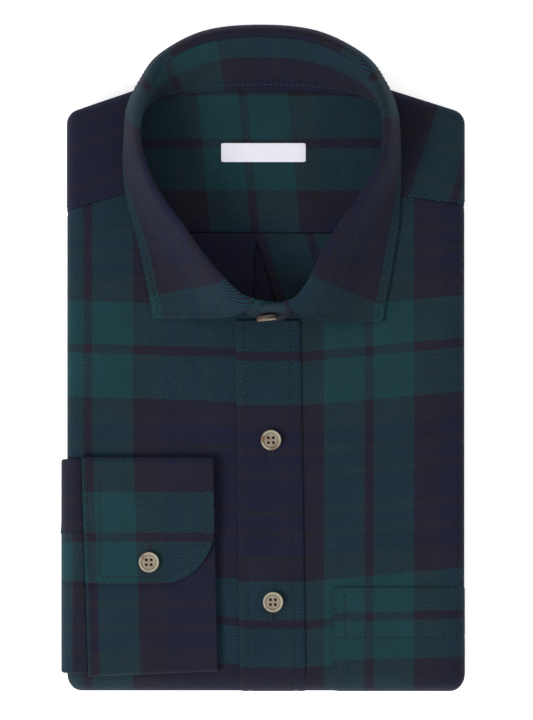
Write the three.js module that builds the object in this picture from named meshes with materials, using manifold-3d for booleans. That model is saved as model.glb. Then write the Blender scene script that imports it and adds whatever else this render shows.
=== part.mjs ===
// A flannel shirt folded flat, lying on its back with the fronts and the collar up.
// Millimetres, +Z up, +Y towards the collar. Left and right in names are the wearer's, so "right" lies at -X.

import * as THREE from 'three';
import { mergeVertices } from 'three/addons/utils/BufferGeometryUtils.js';
import Module from 'manifold-3d';

const wasm = await Module();
wasm.setup();

// Driving sizes of the cloth and of the folded pile
const CLOTH = 1.2;
const GAP = 0.3;
const BAND = 2.0;
const LEAF = 1.8;
const SLEEVE_PLIES = 3.0;
const CORE_TOP = 22;
const CROWN = 1.0;
const FACE = GAP + CLOTH;
const ON_FACE = FACE + GAP;
const PATCH_FACE = ON_FACE + CLOTH;

// The folded edges: an upper ply over a lower one with a groove between, and one full fold at the hem end
const UPPER = { reach: 4.5, middle: 17, rise: 5 };
const LOWER = { reach: 4.5, middle: 4.75, rise: 4.75, inset: 1 };
const FOLD = { reach: 8, middle: CORE_TOP / 2, rise: CORE_TOP / 2 };
const GROOVE = { inset: 9.5, height: 10.7 };
const EDGE_ANGLES = [90, 62, 36, 12, -18, -48];
const LOWER_ANGLES = [60, 30, 0, -45, -90];
const SHARPEST_CORNER = 3;
const SWELL = { width: 236, length: 360, middle: -16 };

// Outline of the pile seen from above, counterclockwise from the corner at the hem and the right side
const PILE_CORNERS = [
  { x: -107.5, y: -181.94, radius: 7.5, steps: 6 },
  { x: 109.43, y: -181.94, radius: 7.5, steps: 8 },
  { x: 109.43, y: 134.5, radius: 5.5, steps: 2 },
  { x: 62, y: 150, radius: 30, steps: 4 },
  { x: -62, y: 150, radius: 30, steps: 2 },
  { x: -107.5, y: 134.5, radius: 5.5, steps: 8 },
];
const CORNER_STEPS = 4;
const DEEP_INSETS = [20, 42];
const CENTRE_RING = { x: 0, y: -18, share: 0.45 };

// Seams seen from above, each a straight line between two points
const YOKE_SEAM_RIGHT = { x0: -106.4, y0: 81.4, x1: -75, y1: 90.8 };
const YOKE_SEAM_LEFT = { x0: 76.2, y0: 89.1, x1: 110.8, y1: 84.2 };
const PLACKET_SIDES = { top: 19.3, leftTop: -15.1, rightTop: 20.9, leftFoot: -12.4, rightFoot: 23.9 };
const FRONT_EDGE = { top: 12, foot: 15, bend: 30 };
const POCKET_CORNER = { x: 38.8, y: -126 };
const INNER_YOKE_SEAM = 69;

// Cutting outlines run past the cloth to these lines, and the yoke seams start beside the neck
const BEYOND = { side: 130, foot: -200, head: 200 };
const YOKE_SEAM_START = 50;
const NECK_BEYOND = { side: 90, foot: 0, head: 160 };

// The neck: base of the stand, its top edge, the leaf's lower edge with its lift over the fronts, and the
// pull at that edge. Rows run from the wearer's right front, round the back, to the left front.
const COLLAR_COLUMNS = [
  'baseX', 'baseY', 'topX', 'topY', 'topZ', 'edgeX', 'edgeY', 'lift', 'pullX', 'pullY', 'pullZ', 'roll',
];
const COLLAR_ROWS = [
  [-4.5, 23.4, -5, 31.8, 50.0, -60.2, 21.5, 1.2, 26, -1, 1, 11],
  [-11, 27.5, -11.5, 34.2, 51.0, -61.2, 28.5, 1.2, 26, 2, 1, 10],
  [-23, 38, -21.9, 43.9, 52.5, -64.1, 42.9, 1.2, 22, 4, 1, 8],
  [-37, 55, -31.2, 54.9, 53.5, -66.6, 55, 1.2, 18, 3, 2, 7],
  [-50.5, 72, -44.2, 73, 55.0, -70.8, 73, 1.3, 11, 2, 6, 6],
  [-61.5, 90, -57, 91, 55.5, -74.9, 91, 1.5, 6, 1, 10, 5.5],
  [-68.5, 106, -64.5, 107.5, 55.5, -76.2, 108, 1.6, 2, 0, 13, 5],
  [-70, 121, -67.6, 124, 55.0, -75.4, 124, 1.8, 0, 0, 14, 5],
  [-66.5, 134.5, -65.2, 138, 54.0, -74.0, 138, 1.4, 0, 0, 15, 5],
  [-58, 143.0, -60.5, 151, 52.5, -67.2, 152, -0.6, 0, 0, 16, 5],
  [-44, 145.6, -52, 163, 50.0, -57.5, 165, -14, 0, 0, 19, 5],
  [-24, 147, -29.5, 173.6, 47.5, -33.0, 178.4, -19, 0, 0, 20, 5],
  [0, 147.3, -1, 176.5, 46.5, -1, 181.8, -20, 0, 0, 20, 5],
  [24, 147, 27, 173.6, 47.5, 31.5, 178.4, -19, 0, 0, 20, 5],
  [45, 145.6, 50.5, 163, 50.0, 57, 165, -14, 0, 0, 19, 5],
  [59, 143.0, 60, 151, 52.5, 67.0, 152, -0.6, 0, 0, 16, 5],
  [67, 134.5, 65.0, 138, 54.0, 73.2, 138, 1.4, 0, 0, 15, 5],
  [70, 121, 66.4, 124, 55.0, 75.1, 124, 1.8, 0, 0, 14, 5],
  [68.5, 106, 64.6, 107.5, 55.5, 75.6, 108, 1.6, -2, 0, 13, 5],
  [60.5, 90, 55.2, 91, 55.5, 75.4, 91, 1.5, -7, 1, 10, 5.5],
  [49, 72, 42.4, 73, 55.0, 74.6, 73, 1.3, -13, 2, 6, 6],
  [37, 55, 31.6, 54.9, 53.5, 72, 55, 1.2, -20, 3, 2, 7],
  [27.5, 38, 26.5, 43.4, 52.5, 70.1, 42.9, 1.2, -23, 4, 1, 8],
  [17.5, 26.8, 18.5, 33.0, 51.0, 67.2, 28.5, 1.2, -26, 2, 1, 10],
  [10.5, 21.4, 11.5, 30.0, 50.0, 66.3, 19.8, 1.2, -26, -1, 1, 11],
];
const STAND_INNER_END = [
  { baseX: 9.6, baseY: 25.6, topX: 9.2, topY: 33.9, topZ: 49.5 },
  { baseX: 2.6, baseY: 24.0, topX: 2.2, topY: 32.3, topZ: 49.8 },
];
const STAND_OUTER_END = [
  { baseX: 3.6, baseY: 20.9, topX: 4.6, topY: 29.3, topZ: 49.6 },
  { baseX: -3.2, baseY: 20.9, topX: -2.2, topY: 29.3, topZ: 49.4 },
];
const STEPS_PER_ROW = 2;
const LEAST_LEVEL = 0.6;
const NECK_CENTRE = { x: 0, y: 92 };
const NECK_DEPTH = 3.5;
const NECK_RINGS = [0.3, 0.6, 0.8, 0.92, 1];
const NECK_POINTS = 48;
const NECK_LID = { height: 20, share: 0.3 };
const SEAM_START = 0.4;
const LEAF_START = 1.6;
const LEAF_RISE = 2.5;
const STAND_RIM = 0.8;
const LEAF_RIM = 0.7;
const SHOULDER_TOP = 140;

// The box pleat in the back below the inner yoke, and the blank label
const PLEAT = {
  apexX: -3.6, apexHalf: 1.5, leftX: -5.8, leftY: 30.8, rightX: 6.9, rightY: 33, footHalf: 6, tuck: 1,
  raise: CLOTH,
};
const LABEL = { left: -22.8, right: 23.9, foot: 107.8, head: 118.3, thickness: 1.0, ease: 0.15 };

// Cuff: a flattened spiral of cloth round the wrist, seen edge-on along X, and the sleeve sewn into it
const CUFF = { head: -54.5, foot: -173.8, lapEnd: -124.3, wall: BAND, cornerRadius: 32, cornerGap: 0.55 };
const CUFF_SEAM = { head: -99.8, foot: -96 };
const CUFF_WRIST = { head: -27.2, foot: -24.8 };
const CUFF_LEVELS = { back: 1.4, atFoot: 3.7, over: 6.4, atHead: 5.4 };
const CUFF_UNDER = [
  { y: -98, level: 3.8 }, { y: -112, level: 4.0 }, { y: -140, level: 4.0 },
  { y: -165, level: CUFF_LEVELS.atFoot },
];
const CUFF_BACK = [{ y: -140, level: CUFF_LEVELS.back }, { y: -90, level: CUFF_LEVELS.back }];
const CUFF_OVER = [
  { y: -75, level: 5.8 }, { y: -92, level: CUFF_LEVELS.over }, { y: -108, level: CUFF_LEVELS.over },
  { y: CUFF.lapEnd, level: CUFF_LEVELS.over },
];
const SLEEVE = { head: -55.6, foot: -173.3, tuckAngle: -55, edge: 1.2, edgeWall: 0.8 };

// Buttons: 18 ligne, four holes
const BUTTON = {
  radius: 5.9, thickness: 3.0, rim: 1.3, dip: 0.8, hole: 0.85, pitch: 1.55, sides: 24, holeSides: 8,
};
const BUTTON_SPOTS = [
  { name: 'button_front_1', x: 4.7, y: -45.1, over: PATCH_FACE },
  { name: 'button_front_2', x: 5.8, y: -134.2, over: PATCH_FACE },
  { name: 'button_cuff', x: -62.4, y: -112.2, over: FACE + CUFF_LEVELS.over + CUFF.wall / 2 },
];
const COLLAR_BUTTON = { along: 0.25, up: 0.52 };

// Colours of the tartan as a whole, of the label and of the horn-like buttons
const cloth = new THREE.MeshStandardMaterial({ color: 0x262e3c, roughness: 0.92, metalness: 0 });
const greenCloth = new THREE.MeshStandardMaterial({ color: 0x1c3a3e, roughness: 0.92, metalness: 0 });
const labelCloth = new THREE.MeshStandardMaterial({ color: 0xdedeea, roughness: 0.7, metalness: 0 });
const horn = new THREE.MeshStandardMaterial({ color: 0xa89880, roughness: 0.35, metalness: 0 });

const shirt = new THREE.Group();

const mix = (a, b, t) => a + (b - a) * t;
const radians = THREE.MathUtils.degToRad;

// Makes a closed mesh of rows of points: rings that join round, capped at both ends by a fan to their middle.
function ringSolid(rings) {
  const count = rings[0].length;
  const points = rings.flat();
  const faces = [];
  for (let i = 0; i + 1 < rings.length; i += 1) {
    for (let k = 0; k < count; k += 1) {
      const a = i * count + k;
      const b = i * count + (k + 1) % count;
      faces.push([a, a + count, b + count], [a, b + count, b]);
    }
  }
  for (const [start, flip] of [[0, false], [(rings.length - 1) * count, true]]) {
    const ring = points.slice(start, start + count);
    const middle = new THREE.Vector3();
    ring.forEach((p) => middle.add(p));
    points.push(middle.divideScalar(count));
    for (let k = 0; k < count; k += 1) {
      const a = start + k;
      const b = start + (k + 1) % count;
      faces.push(flip ? [points.length - 1, b, a] : [points.length - 1, a, b]);
    }
  }
  return geometryOf(points, faces);
}

function geometryOf(points, faces) {
  const geometry = new THREE.BufferGeometry();
  const places = points.flatMap((p) => [p.x, p.y, p.z]);
  geometry.setAttribute('position', new THREE.Float32BufferAttribute(places, 3));
  geometry.setIndex(faces.flat());
  return geometry;
}

// Makes a cloth wall of a grid of middle points: each point moves half the thickness out and in along the
// normal, or level where its column stands on something.
function wall(grid, thicknessAt, levelColumn = -1) {
  const rows = grid.length;
  const columns = grid[0].length;
  const outer = [];
  const inner = [];
  for (let i = 0; i < rows; i += 1) {
    for (let j = 0; j < columns; j += 1) {
      const alongRows = grid[Math.min(i + 1, rows - 1)][j].clone().sub(grid[Math.max(i - 1, 0)][j]);
      const alongColumns = grid[i][Math.min(j + 1, columns - 1)].clone().sub(grid[i][Math.max(j - 1, 0)]);
      const normal = alongRows.cross(alongColumns).normalize();
      if (j === levelColumn) {
        normal.divideScalar(Math.max(LEAST_LEVEL, Math.hypot(normal.x, normal.y)));
        normal.z = 0;
      }
      normal.multiplyScalar(thicknessAt(i, j) / 2);
      outer.push(grid[i][j].clone().add(normal));
      inner.push(grid[i][j].clone().sub(normal));
    }
  }
  const points = [...outer, ...inner];
  const under = rows * columns;
  const faces = [];
  for (let i = 0; i + 1 < rows; i += 1) {
    for (let j = 0; j + 1 < columns; j += 1) {
      const a = i * columns + j;
      const c = a + columns;
      faces.push([a, c, c + 1], [a, c + 1, a + 1]);
      faces.push([under + a, under + c + 1, under + c], [under + a, under + a + 1, under + c + 1]);
    }
  }
  const rim = [];
  for (let i = 0; i + 1 < rows; i += 1) rim.push(i * columns);
  for (let j = 0; j + 1 < columns; j += 1) rim.push((rows - 1) * columns + j);
  for (let i = rows - 1; i > 0; i -= 1) rim.push(i * columns + columns - 1);
  for (let j = columns - 1; j > 0; j -= 1) rim.push(j);
  rim.forEach((a, k) => {
    const b = rim[(k + 1) % rim.length];
    faces.push([a, under + a, under + b], [a, under + b, b]);
  });
  return geometryOf(points, faces);
}

// Joins and cuts are made on solids of merged points.
function solidOf(geometry) {
  const bare = geometry.clone();
  bare.deleteAttribute('normal');
  bare.deleteAttribute('uv');
  const merged = mergeVertices(bare, 1e-4);
  return new wasm.Manifold(new wasm.Mesh({
    numProp: 3,
    vertProperties: new Float32Array(merged.attributes.position.array),
    triVerts: new Uint32Array(merged.index.array),
  }));
}

// A cut can leave slivers, so a piece is the largest body of its solid.
function addPiece(name, solid, material) {
  const [body] = solid.decompose().sort((a, b) => b.volume() - a.volume());
  const mesh = body.getMesh();
  const geometry = new THREE.BufferGeometry();
  geometry.setAttribute('position', new THREE.BufferAttribute(new Float32Array(mesh.vertProperties), 3));
  geometry.setIndex(new THREE.BufferAttribute(new Uint32Array(mesh.triVerts), 1));
  geometry.computeVertexNormals();
  const piece = new THREE.Mesh(geometry, material);
  piece.name = name;
  shirt.add(piece);
}

// An upright prism over a plan outline, used to cut pieces out of a layer.
function prism(outline, low = -20, high = 90) {
  const shape = new THREE.Shape(outline.map(([x, y]) => new THREE.Vector2(x, y)));
  const geometry = new THREE.ExtrudeGeometry(shape, { depth: high - low, bevelEnabled: false });
  return solidOf(geometry.translate(0, 0, low));
}

// One ring of the pile's outline, moved in by an inset, with the same number of points at every inset.
function outlineRing(inset) {
  const corners = PILE_CORNERS.map((corner, k) => {
    const before = PILE_CORNERS[(k + PILE_CORNERS.length - 1) % PILE_CORNERS.length];
    const after = PILE_CORNERS[(k + 1) % PILE_CORNERS.length];
    const into = new THREE.Vector2(corner.x - before.x, corner.y - before.y).normalize();
    const out = new THREE.Vector2(after.x - corner.x, after.y - corner.y).normalize();
    const turn = Math.acos(THREE.MathUtils.clamp(into.dot(out), -1, 1));
    const radius = Math.max(corner.radius - inset, SHARPEST_CORNER);
    const bisector = out.clone().sub(into).normalize();
    const tip = new THREE.Vector2(corner.x, corner.y).addScaledVector(bisector, inset / Math.cos(turn / 2));
    const centre = tip.clone().addScaledVector(bisector, radius / Math.cos(turn / 2));
    const start = Math.atan2(-into.x, into.y);
    const arc = [];
    for (let i = 0; i <= CORNER_STEPS; i += 1) {
      const angle = start + turn * i / CORNER_STEPS;
      const spoke = new THREE.Vector2(Math.cos(angle), Math.sin(angle));
      arc.push(centre.clone().addScaledVector(spoke, radius));
    }
    return arc;
  });
  return corners.flatMap((arc, k) => {
    const last = arc[CORNER_STEPS];
    const next = corners[(k + 1) % corners.length][0];
    const side = [];
    const { steps } = PILE_CORNERS[k];
    for (let i = 1; i < steps; i += 1) side.push(last.clone().lerp(next, i / steps));
    return [...arc, ...side];
  });
}

// How far each outline point belongs to the full fold at the hem end: 0 on the sides, 1 along the fold.
function foldShares() {
  const shares = PILE_CORNERS.flatMap((corner, k) => {
    const arc = Array.from({ length: CORNER_STEPS + 1 }, (_, i) => {
      if (k === 0) return i / CORNER_STEPS;
      return k === 1 ? 1 - i / CORNER_STEPS : 0;
    });
    return [...arc, ...Array(corner.steps - 1).fill(k === 0 ? 1 : 0)];
  });
  return shares.map((s) => s * s * (3 - 2 * s));
}

const outline = outlineRing(0);
const deepRings = DEEP_INSETS.map(outlineRing);
deepRings.push(deepRings[deepRings.length - 1].map((p) => (
  new THREE.Vector2(CENTRE_RING.x, CENTRE_RING.y).lerp(p, CENTRE_RING.share))));
const hemShare = foldShares();

function outlineAt(k, inset) {
  return outline[k].clone().lerp(deepRings[0][k], inset / DEEP_INSETS[0]);
}

// The pile lies highest near its middle, where most layers are.
function swell(x, y) {
  const across = Math.max(0, Math.cos(Math.PI * x / SWELL.width));
  const along = Math.max(0, Math.cos(Math.PI * (y - SWELL.middle) / SWELL.length));
  return CROWN * across * along;
}

// A point of the folded edge at an angle from level (90 is the flat top), for a layer so far off the core.
function edgePoint(k, angle, offset) {
  const side = {
    inset: UPPER.reach + FACE - (UPPER.reach + offset) * Math.cos(radians(angle)),
    z: UPPER.middle + (UPPER.rise + offset) * Math.sin(radians(angle)),
  };
  const fold = {
    inset: FOLD.reach + FACE - (FOLD.reach + offset) * Math.cos(radians(angle)),
    z: FOLD.middle + (FOLD.rise + offset) * Math.sin(radians(angle)),
  };
  const p = outlineAt(k, mix(side.inset, fold.inset, hemShare[k]));
  return new THREE.Vector3(p.x, p.y, mix(side.z, fold.z, hemShare[k]));
}

function layerRings(offset) {
  const flat = deepRings.slice().reverse().map((ring) => ring.map((p) => (
    new THREE.Vector3(p.x, p.y, CORE_TOP + offset + swell(p.x, p.y)))));
  const edge = EDGE_ANGLES.map((angle) => outline.map((_, k) => edgePoint(k, angle, offset)));
  return [...flat, ...edge];
}

// A layer of cloth over the whole pile, between two offsets from the core.
function layer(innerOffset, outerOffset) {
  return solidOf(ringSolid([...layerRings(outerOffset), ...layerRings(innerOffset).reverse()]));
}

// Height of a layer's face at a place in plan, falling away along the straight top edge behind the neck.
function faceHeight(x, y, offset) {
  const inset = PILE_CORNERS[3].y - y;
  const reach = UPPER.reach + FACE;
  const drop = inset < reach ? 1 - Math.sqrt(Math.max(0, 1 - ((reach - inset) / reach) ** 2)) : 0;
  return CORE_TOP + offset + swell(x, y) - drop * (UPPER.rise + offset);
}

// The collar's rows as smooth curves through the table
function table(rows) {
  return rows.map((row) => Object.fromEntries(COLLAR_COLUMNS.map((column, i) => [column, row[i]])));
}

function curveThrough(points, steps) {
  const curve = new THREE.CatmullRomCurve3(points, false, 'centripetal');
  const result = [];
  for (let i = 0; i < points.length - 1; i += 1) {
    for (let s = 0; s < steps; s += 1) result.push(curve.getPoint((i + s / steps) / (points.length - 1)));
  }
  result.push(points[points.length - 1].clone());
  return result;
}

const collar = table(COLLAR_ROWS);
const basePoint = (row) => {
  const height = faceHeight(row.baseX, row.baseY - BAND, ON_FACE);
  return new THREE.Vector3(row.baseX, row.baseY, height);
};
const topPoint = (row) => new THREE.Vector3(row.topX, row.topY, row.topZ);

// Neck hole: the closed line of the stand's base, as a radius in each direction from the middle of the neck
const neckLine = curveThrough(collar.map(basePoint), 4);

function neckRadius(angle) {
  const ray = new THREE.Vector2(Math.cos(angle), Math.sin(angle));
  for (let i = 0; i < neckLine.length; i += 1) {
    const a = neckLine[i];
    const b = neckLine[(i + 1) % neckLine.length];
    const from = new THREE.Vector2(a.x - NECK_CENTRE.x, a.y - NECK_CENTRE.y);
    const along = new THREE.Vector2(b.x - a.x, b.y - a.y);
    const cross = ray.cross(along);
    if (Math.abs(cross) > 1e-9) {
      const distance = from.cross(along) / cross;
      const part = from.cross(ray) / cross;
      if (distance > 0 && part >= -1e-6 && part <= 1 + 1e-6) return distance;
    }
  }
  throw new Error('the neck line is open');
}

const NECK_FIRST = 0.4;
const neckStep = 2 * Math.PI / NECK_POINTS;
const neckAngles = Array.from({ length: NECK_POINTS }, (_, i) => (i + NECK_FIRST) * neckStep);
const neckRim = (inset) => neckAngles.map((angle) => {
  const r = neckRadius(angle) - inset;
  return new THREE.Vector2(NECK_CENTRE.x + r * Math.cos(angle), NECK_CENTRE.y + r * Math.sin(angle));
});
const neckHole = prism(neckRim(1).map((p) => [p.x, p.y]));

// The cloth inside the neck lies in a shallow hollow: the rim at the fronts' level, the middle deeper.
function hollowHeight(x, y, offset) {
  const dx = x - NECK_CENTRE.x;
  const dy = y - NECK_CENTRE.y;
  const share = Math.min(1, Math.hypot(dx, dy) / neckRadius(Math.atan2(dy, dx)));
  return faceHeight(x, y, FACE) + offset - NECK_DEPTH * (1 - share ** 3);
}

function hollowRings(offset, rimInset) {
  const rim = neckRim(rimInset);
  return NECK_RINGS.map((share) => rim.map((p) => {
    const x = mix(NECK_CENTRE.x, p.x, share);
    const y = mix(NECK_CENTRE.y, p.y, share);
    return new THREE.Vector3(x, y, hollowHeight(x, y, offset));
  }));
}

function hollowLayer(innerOffset, outerOffset) {
  const rings = [...hollowRings(outerOffset, 1 + GAP), ...hollowRings(innerOffset, 1 + GAP).reverse()];
  return solidOf(ringSolid(rings));
}

// The hidden layers: flat below, two plies at the sides, one fold at the hem end, hollowed under the neck
function makeHiddenLayers() {
  const upper = EDGE_ANGLES.map((angle) => outline.map((_, k) => edgePoint(k, angle, 0)));
  const tuck = EDGE_ANGLES[EDGE_ANGLES.length - 1];
  const below = [
    { inset: GROOVE.inset, z: GROOVE.height },
    ...LOWER_ANGLES.map((angle) => ({
      inset: LOWER.reach + LOWER.inset - LOWER.reach * Math.cos(radians(angle)),
      z: LOWER.middle + LOWER.rise * Math.sin(radians(angle)),
    })),
  ];
  const lower = below.map((side, i) => outline.map((_, k) => {
    const foldAngle = radians(mix(tuck, -90, (i + 1) / below.length));
    const foldInset = FOLD.reach + FACE - FOLD.reach * Math.cos(foldAngle);
    const p = outlineAt(k, mix(side.inset, foldInset, hemShare[k]));
    const foldHeight = FOLD.middle + FOLD.rise * Math.sin(foldAngle);
    return new THREE.Vector3(p.x, p.y, mix(side.z, foldHeight, hemShare[k]));
  }));
  const core = solidOf(ringSolid([...upper, ...lower]));
  const rim = neckRim(1 - GAP);
  const floor = hollowRings(-CLOTH - GAP, 1 - GAP);
  const lidHeight = CORE_TOP + NECK_LID.height;
  const lid = rim.map((p) => new THREE.Vector3(p.x, p.y, lidHeight));
  const lidMiddle = new THREE.Vector3(NECK_CENTRE.x, NECK_CENTRE.y, lidHeight);
  const lidInner = lid.map((p) => lidMiddle.clone().lerp(p, NECK_LID.share));
  const hollow = solidOf(ringSolid([lidInner, lid, ...floor.reverse()]));
  addPiece('hidden_layers', core.subtract(hollow), cloth);
}

// Fronts and yoke: one layer over the pile, cut along the seams and round the neck
function seamHeight(seam, x) {
  return mix(seam.y0, seam.y1, (x - seam.x0) / (seam.x1 - seam.x0));
}

function makeFrontsAndYoke() {
  const face = layer(GAP, FACE).subtract(neckHole);
  const half = GAP / 2;
  const right = (x) => seamHeight(YOKE_SEAM_RIGHT, x);
  const left = (x) => seamHeight(YOKE_SEAM_LEFT, x);
  const { top, foot, bend } = FRONT_EDGE;
  const { side } = BEYOND;
  const start = YOKE_SEAM_START;
  addPiece('front_right', face.intersect(prism([
    [-side, BEYOND.foot], [foot - half, BEYOND.foot], [top - half, bend], [top - half, NECK_CENTRE.y],
    [-start, right(-start) - half], [-side, right(-side) - half],
  ])), cloth);
  addPiece('front_left', face.intersect(prism([
    [foot + half, BEYOND.foot], [side, BEYOND.foot], [side, left(side) - half], [start, left(start) - half],
    [top + half, NECK_CENTRE.y], [top + half, bend],
  ])), cloth);
  addPiece('yoke', face.intersect(prism([
    [-side, right(-side) + half], [-start, right(-start) + half], [NECK_CENTRE.x, NECK_CENTRE.y],
    [start, left(start) + half], [side, left(side) + half], [side, BEYOND.head], [-side, BEYOND.head],
  ])), cloth);
}

function makePatches() {
  const face = layer(ON_FACE, PATCH_FACE);
  const { top, leftTop, rightTop, leftFoot, rightFoot } = PLACKET_SIDES;
  const footY = BEYOND.foot;
  const slide = (head, foot) => mix(head, foot, (top - footY) / (top - PILE_CORNERS[0].y));
  addPiece('placket', face.intersect(prism([
    [leftTop, top], [slide(leftTop, leftFoot), footY], [slide(rightTop, rightFoot), footY], [rightTop, top],
  ])), greenCloth);
  const { x, y } = POCKET_CORNER;
  const patch = prism([[x, y], [x, footY], [BEYOND.side, footY], [BEYOND.side, y]]);
  addPiece('pocket', face.intersect(patch), greenCloth);
}

// Inside of the neck: inner yoke, the back with its box pleat, and the label
function makeNeckInside() {
  const face = hollowLayer(-CLOTH, 0);
  const raised = hollowLayer(-CLOTH / 2, PLEAT.raise);
  const seam = INNER_YOKE_SEAM;
  const half = GAP / 2;
  const { side, foot, head } = NECK_BEYOND;
  addPiece('inner_yoke', face.intersect(prism([
    [-side, seam + half], [side, seam + half], [side, head], [-side, head],
  ])), cloth);
  const backPanel = face.intersect(prism([
    [-side, foot], [side, foot], [side, seam - half], [-side, seam - half],
  ]));
  const pleatHead = seam - PLEAT.tuck;
  const pleat = raised.intersect(prism([
    [PLEAT.apexX - PLEAT.apexHalf, pleatHead], [PLEAT.leftX - PLEAT.footHalf, PLEAT.leftY],
    [PLEAT.rightX + PLEAT.footHalf, PLEAT.rightY], [PLEAT.apexX + PLEAT.apexHalf, pleatHead],
  ]));
  addPiece('back', backPanel.add(pleat), greenCloth);
  const rows = [LABEL.foot, mix(LABEL.foot, LABEL.head, 0.5), LABEL.head];
  const columns = [0, 0.2, 0.4, 0.6, 0.8, 1].map((t) => mix(LABEL.left, LABEL.right, t));
  const lift = GAP + LABEL.ease + LABEL.thickness / 2;
  const grid = columns.map((x) => rows.map((y) => new THREE.Vector3(x, y, hollowHeight(x, y, lift))));
  addPiece('label', solidOf(wall(grid, () => LABEL.thickness)), labelCloth);
}

// Collar: the stand is one band whose ends overlap at the front, and the leaf turns down from its top edge
function makeCollar() {
  const standRows = [...STAND_INNER_END, ...collar, ...STAND_OUTER_END];
  const bases = curveThrough(standRows.map(basePoint), STEPS_PER_ROW);
  const tops = curveThrough(standRows.map(topPoint), STEPS_PER_ROW);
  const heights = [0, 0.35, 0.7, 1];
  const grid = bases.map((base, i) => heights.map((h) => base.clone().lerp(tops[i], h)));
  const standThickness = (i, j) => (j === heights.length - 1 ? BAND * STAND_RIM : BAND);
  addPiece('collar_stand', solidOf(wall(grid, standThickness, 0)), cloth);

  const leafBases = curveThrough(collar.map(basePoint), STEPS_PER_ROW);
  const leafTops = curveThrough(collar.map(topPoint), STEPS_PER_ROW);
  const edgePoints = collar.map((row) => {
    const face = faceHeight(row.edgeX, Math.min(row.edgeY, SHOULDER_TOP), FACE);
    return new THREE.Vector3(row.edgeX, row.edgeY, face + row.lift);
  });
  const edges = curveThrough(edgePoints, STEPS_PER_ROW);
  const pullPoints = collar.map((row) => new THREE.Vector3(row.pullX, row.pullY, row.pullZ));
  const pulls = curveThrough(pullPoints, STEPS_PER_ROW);
  const rolls = curveThrough(collar.map((row) => new THREE.Vector3(row.roll, 0, 0)), STEPS_PER_ROW);
  const shares = [0, 0.1, 0.2, 0.32, 0.48, 0.66, 0.84, 1];
  const leafGrid = leafTops.map((top, i) => {
    const up = top.clone().sub(leafBases[i]).normalize();
    const along = leafTops[Math.min(i + 1, leafTops.length - 1)].clone().sub(leafTops[Math.max(i - 1, 0)]);
    const out = new THREE.Vector3(-along.y, along.x, 0).normalize();
    const seam = top.clone().addScaledVector(up, SEAM_START);
    const start = top.clone().addScaledVector(up, LEAF_START);
    const crest = start.clone().addScaledVector(up, LEAF_RISE).addScaledVector(out, rolls[i].x);
    const section = new THREE.CubicBezierCurve3(start, crest, edges[i].clone().add(pulls[i]), edges[i]);
    return [seam, ...shares.map((t) => section.getPoint(t))];
  });
  const last = shares.length;
  const leafThickness = (i, j) => (j === last ? LEAF * LEAF_RIM : LEAF);
  addPiece('collar_fall', solidOf(wall(leafGrid, leafThickness)), cloth);
}

// Sleeve end: two plies in one, out of the groove at the wearer's right side and over the edge to the cuff
function cuffLine(line, y) {
  return mix(line.head, line.foot, (y - CUFF.head) / (CUFF.foot - CUFF.head));
}

function makeSleeve() {
  const middle = ON_FACE + SLEEVE_PLIES / 2;
  const inner = [0, 0.2, 0.5, 0.8, 1].map((t) => mix(SLEEVE.head - SLEEVE.edge, SLEEVE.foot + SLEEVE.edge, t));
  const rows = [SLEEVE.head, ...inner, SLEEVE.foot];
  const angles = [SLEEVE.tuckAngle, -30, -5, 20, 45, 70];
  const left = PILE_CORNERS[0].x;
  const grid = rows.map((y) => {
    const round = angles.map((angle) => new THREE.Vector3(
      left + UPPER.reach + FACE - (UPPER.reach + middle) * Math.cos(radians(angle)), y,
      UPPER.middle + (UPPER.rise + middle) * Math.sin(radians(angle)),
    ));
    const start = left + UPPER.reach + FACE;
    const end = cuffLine(CUFF_SEAM, y) - GAP / 2;
    const flat = [0, 1].map((t) => {
      const x = mix(start, end, t);
      return new THREE.Vector3(x, y, CORE_TOP + middle + swell(x, y));
    });
    return [...round, ...flat];
  });
  const thin = (i) => (i === 0 || i === rows.length - 1 ? SLEEVE.edgeWall : SLEEVE_PLIES);
  addPiece('sleeve', solidOf(wall(grid.reverse(), thin)), cloth);
}

// Cuff: the spiral starts under the lap, folds at the foot, runs back up below, folds at the head and laps over
function makeCuff() {
  const { back, atFoot, over, atHead } = CUFF_LEVELS;
  const inset = CUFF.wall / 2;
  const footRadius = (atFoot - back) / 2;
  const headRadius = (atHead - back) / 2;
  const footCentre = CUFF.foot + inset + footRadius;
  const headCentre = CUFF.head - inset - headRadius;
  const turn = (centre, radius, angles) => angles.map((angle) => ({
    y: centre + radius * Math.cos(radians(angle)),
    level: back + radius + radius * Math.sin(radians(angle)),
  }));
  const path = [
    ...CUFF_UNDER,
    ...turn(footCentre, footRadius, [90, 135, 180, 225, 270]),
    ...CUFF_BACK,
    ...turn(headCentre, headRadius, [-90, -45, 0, 45, 90]),
    ...CUFF_OVER,
  ];
  const across = [0, 0.3, 0.65, 1];
  const grid = path.map(({ y, level }) => across.map((t) => {
    const x = mix(cuffLine(CUFF_SEAM, y) + GAP / 2, cuffLine(CUFF_WRIST, y), t);
    return new THREE.Vector3(x, y, CORE_TOP + FACE + level + swell(x, y));
  }));
  const spiral = solidOf(wall(grid, () => CUFF.wall));
  const corner = CUFF.cornerRadius;
  const cutX = cuffLine(CUFF_WRIST, CUFF.lapEnd) - corner;
  const cutY = CUFF.lapEnd + corner;
  const arc = [];
  for (let i = 0; i <= 8; i += 1) {
    const angle = radians(-90 * i / 8);
    arc.push([cutX + corner * Math.cos(angle), cutY + corner * Math.sin(angle)]);
  }
  const level = CORE_TOP + FACE + CROWN + (CUFF_UNDER[1].level + over) / 2;
  const past = cutY - corner - BAND;
  const cutTop = level + NECK_LID.height;
  const cutter = prism([...arc, [cutX, past], [0, past], [0, cutY]], level - CUFF.cornerGap, cutTop);
  addPiece('cuff', spiral.subtract(cutter), cloth);
}

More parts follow.
